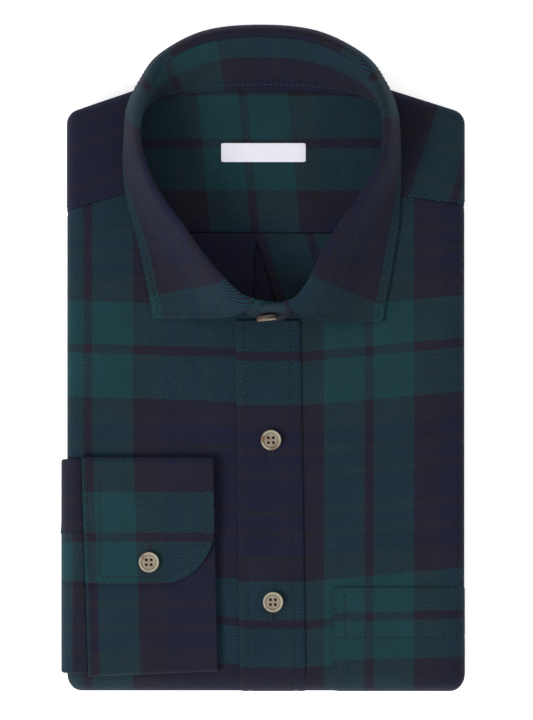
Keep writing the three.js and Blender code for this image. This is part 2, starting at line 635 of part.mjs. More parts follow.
// A button turned to shape with a raised rim and a dished face, and four holes through it
function buttonSolid() {
  const { radius, thickness, rim, dip, hole, pitch, sides, holeSides } = BUTTON;
  const profile = [
    [0, 0], [radius * 0.7, 0], [radius, thickness * 0.45], [radius, thickness * 0.75],
    [radius - rim / 2, thickness], [radius - rim, thickness * 0.97],
    [radius - rim * 1.8, thickness - dip], [0, thickness - dip],
  ].map(([r, z]) => new THREE.Vector2(r, z));
  const disc = new THREE.LatheGeometry(profile, sides).rotateX(Math.PI / 2);
  let solid = solidOf(disc);
  for (const [i, j] of [[-1, -1], [1, -1], [-1, 1], [1, 1]]) {
    const drill = new THREE.CylinderGeometry(hole, hole, thickness * 3, holeSides);
    drill.rotateX(Math.PI / 2).translate(i * pitch, j * pitch, thickness / 2);
    solid = solid.subtract(solidOf(drill));
  }
  return solid;
}

function makeButtons() {
  const button = buttonSolid();
  for (const { name, x, y, over } of BUTTON_SPOTS) {
    addPiece(name, button.translate([x, y, CORE_TOP + over + swell(x, y) + GAP]), horn);
  }
  const [inner, outer] = STAND_OUTER_END;
  const foot = basePoint(inner).lerp(basePoint(outer), COLLAR_BUTTON.along);
  const head = topPoint(inner).lerp(topPoint(outer), COLLAR_BUTTON.along);
  const lean = Math.atan2(head.y - foot.y, head.z - foot.z);
  const middle = foot.clone().lerp(head, COLLAR_BUTTON.up);
  const stack = BAND / 2 + GAP;
  const seat = middle.clone().add(new THREE.Vector3(0, -Math.cos(lean) * stack, Math.sin(lean) * stack));
  const tilt = 90 - THREE.MathUtils.radToDeg(lean);
  addPiece('button_collar', button.rotate([tilt, 0, 0]).translate([seat.x, seat.y, seat.z]), horn);
}

makeHiddenLayers();
makeFrontsAndYoke();
makePatches();
makeNeckInside();
makeCollar();
makeSleeve();
makeCuff();
makeButtons();

export default shirt;
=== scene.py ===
import math
import bpy
import numpy as np
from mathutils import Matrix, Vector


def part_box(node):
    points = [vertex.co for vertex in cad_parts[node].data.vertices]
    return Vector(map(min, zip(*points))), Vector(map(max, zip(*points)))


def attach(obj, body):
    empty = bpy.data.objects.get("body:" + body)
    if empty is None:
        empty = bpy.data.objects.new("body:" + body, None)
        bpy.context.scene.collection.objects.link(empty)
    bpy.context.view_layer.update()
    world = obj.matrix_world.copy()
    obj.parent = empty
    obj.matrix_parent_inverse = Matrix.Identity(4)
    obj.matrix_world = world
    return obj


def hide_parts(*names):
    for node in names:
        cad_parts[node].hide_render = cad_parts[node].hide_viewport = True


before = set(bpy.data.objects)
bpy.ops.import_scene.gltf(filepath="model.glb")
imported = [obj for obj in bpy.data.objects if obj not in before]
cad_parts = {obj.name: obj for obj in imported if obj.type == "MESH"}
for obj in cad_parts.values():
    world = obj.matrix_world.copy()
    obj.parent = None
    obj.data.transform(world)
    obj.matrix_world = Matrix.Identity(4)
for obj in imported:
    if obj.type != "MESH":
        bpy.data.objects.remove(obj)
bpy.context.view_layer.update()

MM = 0.001

# Studio: the camera looks straight down on the folded shirt, as a catalogue picture is taken.
# The floor is white and lit through, the light around it is even, and a soft lamp stands to the lower left.
CAMERA_DISTANCE = 8.0
FRAME_HEIGHT = 0.396
FRAME_CENTRE = (0.0022, -0.0011, 0.024)
FLOOR_HALF = 6
LAMP_PLACE = (-0.75, -0.55, 0.95)
LAMP_TURN = (30.1, -34.3, 0)

camera_data = bpy.data.cameras.new("camera")
camera_data.sensor_fit = "VERTICAL"
camera_data.lens = camera_data.sensor_height * CAMERA_DISTANCE / FRAME_HEIGHT
camera = bpy.data.objects.new("camera", camera_data)
camera.location = np.add(FRAME_CENTRE, (0, 0, CAMERA_DISTANCE))
bpy.context.collection.objects.link(camera)
bpy.context.scene.camera = camera
bpy.context.scene.view_settings.view_transform = "Standard"

lamp_data = bpy.data.lights.new("softbox", "AREA")
lamp_data.shape = "DISK"
lamp_data.size = 0.55
lamp_data.energy = 13.0
lamp = bpy.data.objects.new("softbox", lamp_data)
lamp.location = LAMP_PLACE
lamp.rotation_euler = np.radians(LAMP_TURN)
bpy.context.collection.objects.link(lamp)

world = bpy.data.worlds.new("surround")
world.use_nodes = True
world.node_tree.nodes["Background"].inputs["Color"].default_value = (1, 1, 1, 1)
world.node_tree.nodes["Background"].inputs["Strength"].default_value = 0.9
bpy.context.scene.world = world

floor_mesh = bpy.data.meshes.new("floor")
floor_corners = [(x * FLOOR_HALF, y * FLOOR_HALF, 0) for x, y in ((-1, -1), (1, -1), (1, 1), (-1, 1))]
floor_mesh.from_pydata(floor_corners, [], [(0, 1, 2, 3)])
floor = bpy.data.objects.new("floor", floor_mesh)
bpy.context.collection.objects.link(floor)
floor_paint = bpy.data.materials.new("floor_paint")
floor_paint.use_nodes = True
floor_shader = floor_paint.node_tree.nodes["Principled BSDF"]
floor_shader.inputs["Base Color"].default_value = (0.95, 0.95, 0.95, 1)
floor_shader.inputs["Roughness"].default_value = 0.95
floor_shader.inputs["Emission Color"].default_value = (1, 1, 1, 1)
floor_shader.inputs["Emission Strength"].default_value = 0.5
floor_mesh.materials.append(floor_paint)


# Folded layers: the back, the sides, the left sleeve and the tails lie folded away under the fronts.
# They are the same brushed cotton twill, and show only as rounded folds at the sides and as a flat underside.
CORE_TOP = 22.0
CLOTH = 1.2
GAP = 0.3
FACE = GAP + CLOTH
ON_FACE = FACE + GAP
PATCH_FACE = ON_FACE + CLOTH
PILE_CORNERS = np.array([
    (-107.5, -183.2), (111.1, -183.2), (111.1, 134.5), (62, 150), (-62, 150), (-107.5, 134.5)])
HEM_SIDE = 0
SIDE_EDGE = {"reach": 4.5, "middle": 17.0, "rise": 5.0}
HEM_EDGE = {"reach": 8.0, "middle": 11.0, "rise": 11.0}
SOFT_START = 2.0
CROWN, CROWN_WIDTH, CROWN_LENGTH, CROWN_MIDDLE = 1.0, 236, 360, -16

# The sett of the tartan: half a repeat from the middle of the green, in millimetres of warp
WARP_REPEAT = 154.6
WEFT_REPEAT = 146.0
SETT = ((0, "line"), (2.35, "green"), (24.5, "black"), (40, "navy"), (50, "thin"), (54.4, "navy"),
        (63.4, "thin"), (67.8, "navy"))
YARN = {
    "green": (0.0086, 0.0335, 0.0400, 1),
    "navy": (0.0098, 0.0103, 0.0245, 1),
    "black": (0.0134, 0.0126, 0.0190, 1),
    "line": (0.0140, 0.0118, 0.0190, 1),
}
THIN_WARP = (0.0113, 0.0114, 0.0222, 1)
THIN_WEFT = (0.0134, 0.0126, 0.0190, 1)

# The ribs climb more along the warp than along the weft: metres of cloth to a rib, and the two slopes
TWILL_PITCH = 0.0018
TWILL_WARP = 1.08
TWILL_WEFT = 0.9


def node(tree, kind, **sockets):
    """Adds one shader node: its properties by name, its inputs by an underscore and the socket's number."""
    made = tree.nodes.new(kind)
    for key, value in sockets.items():
        if hasattr(made, key):
            setattr(made, key, value)
        elif isinstance(value, bpy.types.NodeSocket):
            tree.links.new(value, made.inputs[int(key[1:])])
        else:
            made.inputs[int(key[1:])].default_value = value
    return made


def stripes(tree, coordinate, repeat, thin):
    """Colour of one direction's yarns: the coordinate, folded back and forth over half a repeat, picks it."""
    half = repeat * MM / 2
    folded = node(tree, "ShaderNodeMath", operation="PINGPONG", _0=coordinate, _1=half)
    share = node(tree, "ShaderNodeMath", operation="DIVIDE", _0=folded.outputs[0], _1=half)
    ramp = node(tree, "ShaderNodeValToRGB", _0=share.outputs[0])
    ramp.color_ramp.interpolation = "CONSTANT"
    marks = ramp.color_ramp.elements
    while len(marks) > 1:
        marks.remove(marks[-1])
    for start, colour in SETT:
        position = start / (WARP_REPEAT / 2)
        mark = marks.new(position) if start else marks[0]
        mark.position = position
        mark.color = thin if colour == "thin" else YARN[colour]
    return ramp.outputs[0]


def flannel_material():
    """Brushed twill: in diagonal ribs the warp or the weft lies on top, under a soft raised nap. Painted shade
    darkens the ribs' grooves, and painted light brightens their crests and the raised nap.
    """
    material = bpy.data.materials.new("brushed_twill")
    material.use_nodes = True
    tree = material.node_tree
    shader = tree.nodes["Principled BSDF"]
    shader.inputs["Roughness"].default_value = 0.88
    shader.inputs["Specular IOR Level"].default_value = 0.05
    shader.inputs["Sheen Weight"].default_value = 0.05
    shader.inputs["Sheen Roughness"].default_value = 0.45
    shader.inputs["Sheen Tint"].default_value = (0.75, 0.85, 1.0, 1)
    cloth = node(tree, "ShaderNodeUVMap", uv_map="cloth")
    parts = node(tree, "ShaderNodeSeparateXYZ", _0=cloth.outputs[0])
    u, v = parts.outputs[0], parts.outputs[1]
    warp = stripes(tree, u, WARP_REPEAT, THIN_WARP)
    weft = stripes(tree, v, WEFT_REPEAT, THIN_WEFT)
    place = node(tree, "ShaderNodeTexCoord")
    waver = node(tree, "ShaderNodeTexNoise", _0=place.outputs["Object"], _2=650.0, _3=2.0)
    warp_part = node(tree, "ShaderNodeMath", operation="MULTIPLY", _0=u, _1=TWILL_WARP)
    along = node(tree, "ShaderNodeMath", operation="MULTIPLY_ADD", _0=v, _1=TWILL_WEFT,
                 _2=warp_part.outputs[0])
    shifted = node(tree, "ShaderNodeMath", operation="MULTIPLY_ADD", _0=waver.outputs[0], _1=0.0009,
                   _2=along.outputs[0])
    rib = node(tree, "ShaderNodeMath", operation="PINGPONG", _0=shifted.outputs[0], _1=TWILL_PITCH / 2)
    over = node(tree, "ShaderNodeMapRange", _0=rib.outputs[0], _1=TWILL_PITCH * 0.19, _2=TWILL_PITCH * 0.31)
    woven = node(tree, "ShaderNodeMix", data_type="RGBA", _0=over.outputs[0], _6=warp, _7=weft)
    fuzz = node(tree, "ShaderNodeTexNoise", _0=place.outputs["Object"], _2=1500.0, _3=3.0)
    patchy = node(tree, "ShaderNodeTexNoise", _0=place.outputs["Object"], _2=55.0, _3=3.0)
    # The fine nap noise raises the bump and scales the colour together: a random tone of the nap, and painted
    # light on its raised fibres.
    nap_tone_and_painted_light = node(tree, "ShaderNodeMapRange", _0=fuzz.outputs[0], _1=0.25, _2=0.75, _3=0.78, _4=1.22)
    patch_light = node(tree, "ShaderNodeMapRange", _0=patchy.outputs[0], _1=0.3, _2=0.7, _3=0.93, _4=1.07)
    # Painted shade and light: the colour goes from 0.9 in each rib's groove to 1.1 on its crest, following the
    # same rib height as the bump.
    groove = node(tree, "ShaderNodeMapRange", _0=rib.outputs[0], _1=0.0, _2=TWILL_PITCH / 2, _3=0.9, _4=1.1)
    light = node(tree, "ShaderNodeMath", operation="MULTIPLY", _0=nap_tone_and_painted_light.outputs[0],
                 _1=patch_light.outputs[0])
    # Scale of the base colour: a random tone of the cloth, with painted shade and light on the ribs and the
    # nap.
    tone_and_painted_relief_shade = node(tree, "ShaderNodeMath", operation="MULTIPLY", _0=light.outputs[0], _1=groove.outputs[0])
    shade = node(tree, "ShaderNodeVectorMath", operation="SCALE", _0=woven.outputs[2], _3=tone_and_painted_relief_shade.outputs[0])
    tree.links.new(shade.outputs[0], shader.inputs["Base Color"])
    height = node(tree, "ShaderNodeMath", operation="MULTIPLY_ADD", _0=fuzz.outputs[0], _1=0.0009,
                  _2=rib.outputs[0])
    bump = node(tree, "ShaderNodeBump")
    tree.links.new(height.outputs[0], bump.inputs["Height"])
    bump.inputs["Strength"].default_value = 0.6
    bump.inputs["Distance"].default_value = 0.45
    tree.links.new(bump.outputs[0], shader.inputs["Normal"])
    return material


FLANNEL = flannel_material()


def grid_mesh(name, grid, cloth=None, flip=False, closed=False):
    """A sheet of quads over a grid of points in millimetres, rows by columns, facing rows cross columns.
    cloth is the grid of cloth coordinates in millimetres, kept as the UV map. closed joins the last column to
    the first."""
    rows, columns = grid.shape[:2]
    mesh = bpy.data.meshes.new(name)
    number = np.arange(rows * columns).reshape(rows, columns)
    if closed:
        number = np.concatenate([number, number[:, :1]], axis=1)
    quads = np.stack([number[:-1, :-1], number[1:, :-1], number[1:, 1:], number[:-1, 1:]], -1).reshape(-1, 4)
    if flip:
        quads = quads[:, ::-1]
    mesh.from_pydata((grid.reshape(-1, 3) * MM).tolist(), [], quads.tolist())
    if cloth is not None:
        layer = mesh.uv_layers.new(name="cloth")
        layer.data.foreach_set("uv", (cloth.reshape(-1, 2)[quads.reshape(-1)] * MM).ravel())
    mesh.polygons.foreach_set("use_smooth", np.ones(len(quads), dtype=bool))
    mesh.update()
    piece = bpy.data.objects.new(name, mesh)
    bpy.context.collection.objects.link(piece)
    return piece


def finish_cloth(piece, thickness, side=-1.0, rim=0.45):
    """Gives a sheet its thickness to the inside, or to both sides with side 0, and rounds its rim."""
    shell = piece.modifiers.new("thickness", "SOLIDIFY")
    shell.thickness = thickness * MM
    shell.offset = side
    shell.use_even_offset = False
    bevel = piece.modifiers.new("rim", "BEVEL")
    bevel.width = rim * MM
    bevel.segments = 2
    bevel.limit_method = "ANGLE"
    bevel.angle_limit = math.radians(55)
    piece.data.materials.append(FLANNEL)
    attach(piece, "root")
    return piece


def inset_corners(insets):
    """Corners of the pile seen from above, each side moved in by its own inset: side lines intersected."""
    ahead = np.roll(PILE_CORNERS, -1, axis=0) - PILE_CORNERS
    outward = np.stack([ahead[:, 1], -ahead[:, 0]], 1) / np.linalg.norm(ahead, axis=1)[:, None]
    reach = (outward * PILE_CORNERS).sum(1) - insets
    pairs = np.stack([np.roll(outward, 1, axis=0), outward], 1)
    sides = np.stack([np.roll(reach, 1), reach], 1)
    return np.linalg.solve(pairs, sides[..., None])[..., 0], outward


SIDE_INSET = SIDE_EDGE["reach"] + FACE + SOFT_START
HEM_INSET = HEM_EDGE["reach"] + FACE + SOFT_START
FLAT_INSETS = np.where(np.arange(6) == HEM_SIDE, HEM_INSET, SIDE_INSET)
FLAT_CORNERS, FLAT_OUTWARD = inset_corners(FLAT_INSETS)

# Soft troughs and ridges of the fronts: start, end, half width and height, in millimetres
CREASES = np.array([
    (-96, 60, -60, 48, 9, 0.35), (-100, 20, -30, 5, 12, -0.35), (-90, -30, -20, -38, 10, 0.3),
    (34, 12, 100, 40, 12, 0.4), (30, -30, 100, -12, 11, -0.35), (34, -80, 104, -62, 13, 0.4),
    (28, -105, 70, -112, 8, -0.3), (96, 60, 104, -40, 8, -0.35), (-98, 70, -102, -30, 7, -0.3),
    (-30, -60, -22, -150, 8, 0.3), (40, 70, 46, -60, 9, 0.25), (50, -140, 100, -150, 9, 0.3),
    (-8, -60, 12, -66, 7, 0.25), (-6, -100, 14, -96, 8, -0.25), (-90, -160, 20, -168, 8, 0.25),
])


def pile_swell(x, y):
    """The pile lies highest near its middle, as a cosine each way. The creases lie over it, each a bell of
    the distance from its line that fades out beyond both ends."""
    across = np.maximum(0, np.cos(np.pi * x / CROWN_WIDTH))
    along = np.maximum(0, np.cos(np.pi * (y - CROWN_MIDDLE) / CROWN_LENGTH))
    total = CROWN * across * along
    for x0, y0, x1, y1, width, height in CREASES:
        run = np.array((x1 - x0, y1 - y0))
        length = np.hypot(*run)
        share = ((x - x0) * run[0] + (y - y0) * run[1]) / length ** 2
        away = ((x - x0) * run[1] - (y - y0) * run[0]) / length
        ends = np.exp(-np.maximum(0, np.abs(share - 0.5) - 0.35) ** 2 * 40)
        total = total + height * ends * np.exp(-(away / width) ** 2)
    return total


def smooth(share):
    """0 up to 0 and 1 from 1 on, with a level start and end: three squares less two cubes."""
    share = np.clip(share, 0, 1)
    return share * share * (3 - 2 * share)


def drape(x, y, offset):
    """Lays cloth over the pile: flat on top, round the elliptical edge by arc length, and level under it.
    x and y are the cloth's own flat coordinates, offset is the height of its face over the hidden layers."""
    spot = np.stack([x, y], -1)[..., None, :]
    run = np.roll(FLAT_CORNERS, -1, axis=0) - FLAT_CORNERS
    share = np.clip(((spot - FLAT_CORNERS) * run).sum(-1) / (run ** 2).sum(-1), 0, 1)
    near = FLAT_CORNERS + share[..., None] * run
    away = np.linalg.norm(spot - near, axis=-1)
    nearest = away.argmin(-1)[..., None]
    inside = (((spot - FLAT_CORNERS) * FLAT_OUTWARD).sum(-1) <= 0).all(-1)
    distance = np.take_along_axis(away, nearest, -1)[..., 0] * ~inside
    foot = np.take_along_axis(near, nearest[..., None], -2)[..., 0, :]
    outward = (spot[..., 0, :] - foot) / np.maximum(distance, 1e-9)[..., None]
    outward[inside] = 0
    hem = smooth(np.arctan2(-outward[..., 1], np.abs(outward[..., 0])) / (np.pi / 2))
    reach = SIDE_EDGE["reach"] + (HEM_EDGE["reach"] - SIDE_EDGE["reach"]) * hem + offset
    rise = SIDE_EDGE["rise"] + (HEM_EDGE["rise"] - SIDE_EDGE["rise"]) * hem + offset
    middle = SIDE_EDGE["middle"] + (HEM_EDGE["middle"] - SIDE_EDGE["middle"]) * hem
    round_part = np.maximum(0, distance - SOFT_START)
    radius = (reach + rise) / 2
    angle = np.minimum(round_part / radius, np.pi)
    under = np.maximum(0, round_part - radius * np.pi)
    square = np.clip((np.abs(outward).max(-1) - 0.85) / 0.15, 0, 1)
    level = np.minimum(distance, SOFT_START) + reach * np.sin(angle) - under * square
    plan = np.where(inside[..., None], spot[..., 0, :], foot + outward * level[..., None])
    lowered = middle + rise * np.cos(angle)
    height = np.where(inside, CORE_TOP + offset, lowered) + pile_swell(plan[..., 0], plan[..., 1]) * (
        0.5 + 0.5 * np.cos(np.minimum(angle * 2, np.pi)))
    return np.concatenate([plan, np.maximum(height, 0.05)[..., None]], -1)


def rim_of(insets, pitch, arc_steps):
    """Points round the inset outline, counterclockwise, and the outward direction at each: fans at corners."""
    corners, outward = inset_corners(insets)
    points, directions = [], []
    for k, corner in enumerate(corners):
        before, after = outward[k - 1], outward[k]
        turn = np.linspace(0, 1, arc_steps)[:, None]
        fan = before * (1 - turn) + after * turn
        points.append(np.repeat(corner[None], arc_steps, axis=0))
        directions.append(fan / np.linalg.norm(fan, axis=1)[:, None])
        ahead = corners[(k + 1) % len(corners)]
        steps = max(2, int(np.linalg.norm(ahead - corner) / pitch))
        share = np.linspace(0, 1, steps + 1)[1:-1, None]
        points.append(corner * (1 - share) + ahead * share)
        directions.append(np.repeat(after[None], len(share), axis=0))
    return np.concatenate(points), np.concatenate(directions)


FOLD_CORNER = 4.0
UNDER_RINGS = (0.02, 0.2, 0.4, 0.6, 0.8, 0.93)
FOLD_CLOTH = (20, 40)


def folded_layer(name, insets, low, high, reach, tuck):
    """A folded layer: flat below, a half-elliptical fold round the outside, and level again above, tucked in.
    Its corners are rounded by moving a smaller outline out by a radius."""
    base, outward = rim_of(insets + FOLD_CORNER, 5.0, 9)
    base = base + outward * FOLD_CORNER
    fold = np.linspace(-np.pi / 2, np.pi / 2, 11)
    centre = (base.max(0) + base.min(0)) / 2
    middle, rise = (low + high) / 2, (high - low) / 2
    rings = []
    for share in UNDER_RINGS:
        plan = centre + (base - centre) * share
        rings.append(np.column_stack([plan, np.full(len(plan), low)]))
    for angle in fold:
        plan = base + outward * (reach * np.cos(angle))
        rings.append(np.column_stack([plan, np.full(len(plan), middle + rise * np.sin(angle))]))
    inner = centre + (base - centre) * tuck
    rings.append(np.column_stack([inner, np.full(len(inner), high)]))
    grid = np.stack(rings)
    step = np.linalg.norm(np.diff(grid, axis=0), axis=-1).cumsum(0)
    spread = np.concatenate([np.zeros((1, len(base))), step]) - np.linalg.norm(base - centre, axis=1)
    cloth = base[None] + outward[None] * spread[..., None]
    cloth[:len(UNDER_RINGS)] = grid[:len(UNDER_RINGS), :, :2]
    return grid_mesh(name, grid, cloth * (-1, 1) + FOLD_CLOTH, flip=True, closed=True)


BACK_INSETS = np.where(np.arange(6) == HEM_SIDE, 15.0, 5.5)
MIDDLE_INSETS = np.where(np.arange(6) == HEM_SIDE, 15.0, 6.5)
fold_back = folded_layer("fold_back", BACK_INSETS, 0.1, 5.6, 4.2, 0.8)
finish_cloth(fold_back, CLOTH)
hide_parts("hidden_layers")
fold_middle = folded_layer("fold_middle", MIDDLE_INSETS, 6.0, 10.0, 4.4, 0.8)
finish_cloth(fold_middle, CLOTH)
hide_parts("hidden_layers")

# Fronts: the two front panels, cut to match across the tartan, fold round the sides and under at the hem.
# The yoke seam ends them at the top, and the neck edge runs under the collar.
SIDE_RADIUS, HEM_RADIUS = 6.25, 11.0
SIDE_TUCK, HEM_TUCK = 4.0, 14.0
SIDE_TURN = SOFT_START + math.pi * SIDE_RADIUS + SIDE_TUCK
HEM_TURN = SOFT_START + math.pi * HEM_RADIUS + HEM_TUCK
TUCK_TAPER = 30.0
LEFT_LINE = FLAT_CORNERS[0, 0]
RIGHT_LINE = FLAT_CORNERS[1, 0]
HEM_LINE = FLAT_CORNERS[0, 1]
PITCH = 1.5

# Neck edge from the wearer's right front, round the back, to the left front, seen from above
NECK_EDGE = np.array([
    (-4.5, 23.4), (-11, 27.5), (-23, 38), (-37, 55), (-50.5, 72), (-61.5, 90), (-68.5, 106), (-70, 121),
    (-66.5, 134.5), (-58, 143.0), (-44, 145.6), (-24, 147), (0, 147.3), (24, 147), (45, 145.6), (59, 143.0),
    (67, 134.5), (70, 121), (68.5, 106), (60.5, 90), (49, 72), (37, 55), (27.5, 38), (17.5, 26.8),
    (10.5, 21.4)])

# Weft of the fronts: where the middle and the edges of the two green bands lie, on the cloth and on the sett
WEFT_PLACES = np.array([-200, -165.5, -142.2, -118.6, -21.3, 5.5, 31.3, 190])
WEFT_SETT = np.array([-203.8, -169.25, -146, -122.75, -23.25, 0, 23.25, 182])


def stations(low, high, pitch, fine=()):
    """Even steps from low to high, with five close steps across each stitch line."""
    even = np.linspace(low, high, max(2, int(abs(high - low) / pitch) + 1))
    near = [line + step for line in fine for step in (-1.0, -0.5, 0, 0.5, 1.0)]
    clear = 1.3
    kept = [value for value in even
            if value in (low, high) or all(abs(value - line) > clear for line in fine)]
    inside = [value for value in near if min(low, high) < value < max(low, high)]
    return np.unique(np.concatenate([kept, inside]))


def round_corners(x, y):
    """Beyond the side and hem lines the square corner maps to a disc, whose radius takes the cloth just under
    the fold. Along both lines the tuck grows from none at the corner to its full depth a little way on."""
    side = np.where(x < 0, LEFT_LINE, RIGHT_LINE)
    beyond = (x - side) * np.sign(x)
    across = np.maximum(0, beyond) / SIDE_TURN
    down = np.maximum(0, HEM_LINE - y) / HEM_TURN
    out = across * np.sqrt(np.maximum(0, 1 - down ** 2 / 2)) * SIDE_TURN
    fall = down * np.sqrt(np.maximum(0, 1 - across ** 2 / 2)) * HEM_TURN
    share = np.hypot(out / SIDE_TURN, fall / HEM_TURN)
    direction = np.arctan2(fall, out)
    hem = smooth(direction / (np.pi / 2))
    away = np.where(across == 0, -beyond, np.where(down == 0, y - HEM_LINE, 0))
    full = smooth(away / TUCK_TAPER)
    radius = SIDE_RADIUS + (HEM_RADIUS - SIDE_RADIUS) * hem
    tuck = (SIDE_TUCK + (HEM_TUCK - SIDE_TUCK) * hem) * full
    reach = SOFT_START + np.pi * radius * (0.9 + 0.1 * full) + tuck
    x = np.where(across > 0, side + np.sign(x) * share * reach * np.cos(direction), x)
    y = np.where(down > 0, HEM_LINE - share * reach * np.sin(direction), y)
    return x, y


def stitch_dip(distance, depth=0.3, width=0.7):
    """The cloth is drawn in along a line of stitches: a narrow bell of the distance from it."""
    return depth * np.exp(-(distance / width) ** 2)


STITCH_PITCH = 3.0
STITCH_LENGTH = 2.2
STITCH_RADIUS = 0.27
STITCH_RINGS = np.array([-0.5, -0.4, 0, 0.4, 0.5])
STITCH_SIZES = np.array([0.35, 0.85, 1, 0.85, 0.35])
STITCH_RISES = np.array([-0.8, -0.25, 0.35, -0.25, -0.8])
STITCH_SIDES = 6
THREAD_DARK = (0.0050, 0.0085, 0.0140, 1)
THREAD_LIGHT = (0.022, 0.034, 0.044, 1)


def thread_material(name, colour):
    """Spun polyester thread: a soft gloss over a colour that varies a little along its length."""
    material = bpy.data.materials.new(name)
    material.use_nodes = True
    tree = material.node_tree
    shader = tree.nodes["Principled BSDF"]
    shader.inputs["Roughness"].default_value = 0.55
    shader.inputs["Specular IOR Level"].default_value = 0.2
    place = node(tree, "ShaderNodeTexCoord")
    fibre = node(tree, "ShaderNodeTexNoise", _0=place.outputs["Object"], _2=2600.0, _3=2.0)
    tone = node(tree, "ShaderNodeMapRange", _0=fibre.outputs[0], _1=0.3, _2=0.7, _3=0.7, _4=1.3)
    shade = node(tree, "ShaderNodeVectorMath", operation="SCALE", _0=colour[:3], _3=tone.outputs[0])
    tree.links.new(shade.outputs[0], shader.inputs["Base Color"])
    return material


DARK_THREAD = thread_material("dark_thread", THREAD_DARK)
LIGHT_THREAD = thread_material("light_thread", THREAD_LIGHT)


def between(grid, rows, columns):
    """Points of a grid at fractional rows and columns: the four neighbours blended."""
    i = np.clip(rows.astype(int), 0, grid.shape[0] - 2)
    j = np.clip(columns.astype(int), 0, grid.shape[1] - 2)
    a, b = (rows - i)[:, None], (columns - j)[:, None]
    low = grid[i, j] * (1 - b) + grid[i, j + 1] * b
    high = grid[i + 1, j] * (1 - b) + grid[i + 1, j + 1] * b
    return low * (1 - a) + high * a


def stitches(name, grid, lines, lift=0.0, thread=DARK_THREAD):
    """Rows of stitches in one mesh. Each line gives fractional rows and columns of the sewn grid. A stitch
    is a tube of six sides and five rings along the line, thinner and sunk at its ends."""
    normals = np.cross(np.gradient(grid, axis=0), np.gradient(grid, axis=1))
    normals /= np.maximum(np.linalg.norm(normals, axis=-1), 1e-9)[..., None]
    spots, runs, ups = [], [], []
    for rows, columns in lines:
        rows, columns = np.broadcast_arrays(np.asarray(rows, float), np.asarray(columns, float))
        line, up = between(grid, rows, columns), between(normals, rows, columns)
        length = np.concatenate([[0], np.linalg.norm(np.diff(line, axis=0), axis=1).cumsum()])
        middle = np.arange(STITCH_PITCH / 2, length[-1] - STITCH_LENGTH / 2, STITCH_PITCH)
        at = [np.stack([np.interp(middle + step, length, line[:, k]) for k in range(3)], 1)
              for step in (-0.6, 0, 0.6)]
        spots.append(at[1])
        runs.append(at[2] - at[0])
        ups.append(np.stack([np.interp(middle, length, up[:, k]) for k in range(3)], 1))
    spot, run, up = (np.concatenate(parts) for parts in (spots, runs, ups))
    run /= np.linalg.norm(run, axis=1)[:, None]
    side = np.cross(up, run)
    side /= np.linalg.norm(side, axis=1)[:, None]
    up = np.cross(run, side)
    along = STITCH_RINGS * STITCH_LENGTH
    size = STITCH_SIZES * STITCH_RADIUS
    rise = lift + STITCH_RISES * STITCH_RADIUS
    turn = np.linspace(0, 2 * np.pi, STITCH_SIDES, endpoint=False)
    tube = (spot[:, None, None] + run[:, None, None] * along[None, :, None, None]
            + side[:, None, None] * (size[:, None] * np.cos(turn))[None, ..., None]
            + up[:, None, None] * (size[:, None] * np.sin(turn) + rise[:, None])[None, ..., None])
    number = np.arange(len(STITCH_RINGS) * STITCH_SIDES).reshape(-1, STITCH_SIDES)
    after = np.roll(number, -1, axis=1)
    quads = np.stack([number[:-1], after[:-1], after[1:], number[1:]], -1)
    first = np.arange(len(spot))[:, None, None] * number.size
    faces = (quads.reshape(1, -1, 4) + first).reshape(-1, 4).tolist()
    ends = np.array([number[0, ::-1], number[-1]])
    faces += (ends[None] + first).reshape(-1, STITCH_SIDES).tolist()
    mesh = bpy.data.meshes.new(name)
    mesh.from_pydata((tube.reshape(-1, 3) * MM).tolist(), [], faces)
    mesh.polygons.foreach_set("use_smooth", np.ones(len(faces), dtype=bool))
    mesh.materials.append(thread)
    piece = bpy.data.objects.new(name, mesh)
    bpy.context.collection.objects.link(piece)
    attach(piece, "root")
    return piece


def slope_of(seam):
    """How far a straight seam rises for each millimetre to the wearer's left."""
    return (seam[1][1] - seam[0][1]) / (seam[1][0] - seam[0][0])


def seam_at(seam, x):
    """Where a straight seam seen from above lies at x: its start and so much of its slope."""
    return seam[0][1] + (x - seam[0][0]) * slope_of(seam)


FRONT_ROWS = 210
FRONT_MEETING = 1.0


def front_panel(name, node_name, side, seam, warp_shift, weft_line):
    """One front: columns of constant x, each from under the hem end up to the yoke seam or the neck edge."""
    centre = 0.0 if side < 0 else FRONT_MEETING
    edge = LEFT_LINE - SIDE_TURN if side < 0 else RIGHT_LINE + SIDE_TURN
    columns = stations(min(edge, centre), max(edge, centre), PITCH)
    neck = NECK_EDGE[:7] if side < 0 else NECK_EDGE[-7:]
    order = neck[:, 0].argsort()
    neck_height = np.interp(columns, neck[order, 0], neck[order, 1])
    seam_height = seam_at(seam, columns)
    top = np.minimum(seam_height - GAP / 2, neck_height)
    rows = np.linspace(0, 1, FRONT_ROWS)
    x = np.repeat(columns[:, None], len(rows), axis=1)
    low = HEM_LINE - HEM_TURN
    y = low + rows[None] * (top[:, None] - low)
    x, y = round_corners(x, y)
    to_seam = np.abs(y - seam_height[:, None])
    grid = drape(x, y, FACE - stitch_dip(to_seam - 0.6, 0.35, 0.9))
    sett = np.interp(y - weft_line(x), WEFT_PLACES, WEFT_SETT)
    piece = grid_mesh(name, grid, np.stack([x + warp_shift, sett], -1))
    finish_cloth(piece, CLOTH)
    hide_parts(node_name)
    return piece


YOKE_SEAM_RIGHT = ((-106.4, 81.4), (-75, 90.8))
YOKE_SEAM_LEFT = ((76.2, 89.1), (110.8, 84.2))
front_right = front_panel("front_right_cloth", "front_right", -1, YOKE_SEAM_RIGHT, 96.0,
                          lambda x: -0.03 * (x + 100))
front_left = front_panel("front_left_cloth", "front_left", 1, YOKE_SEAM_LEFT, -58.6,
                         lambda x: -4.4 + 0.09 * (x - 26))

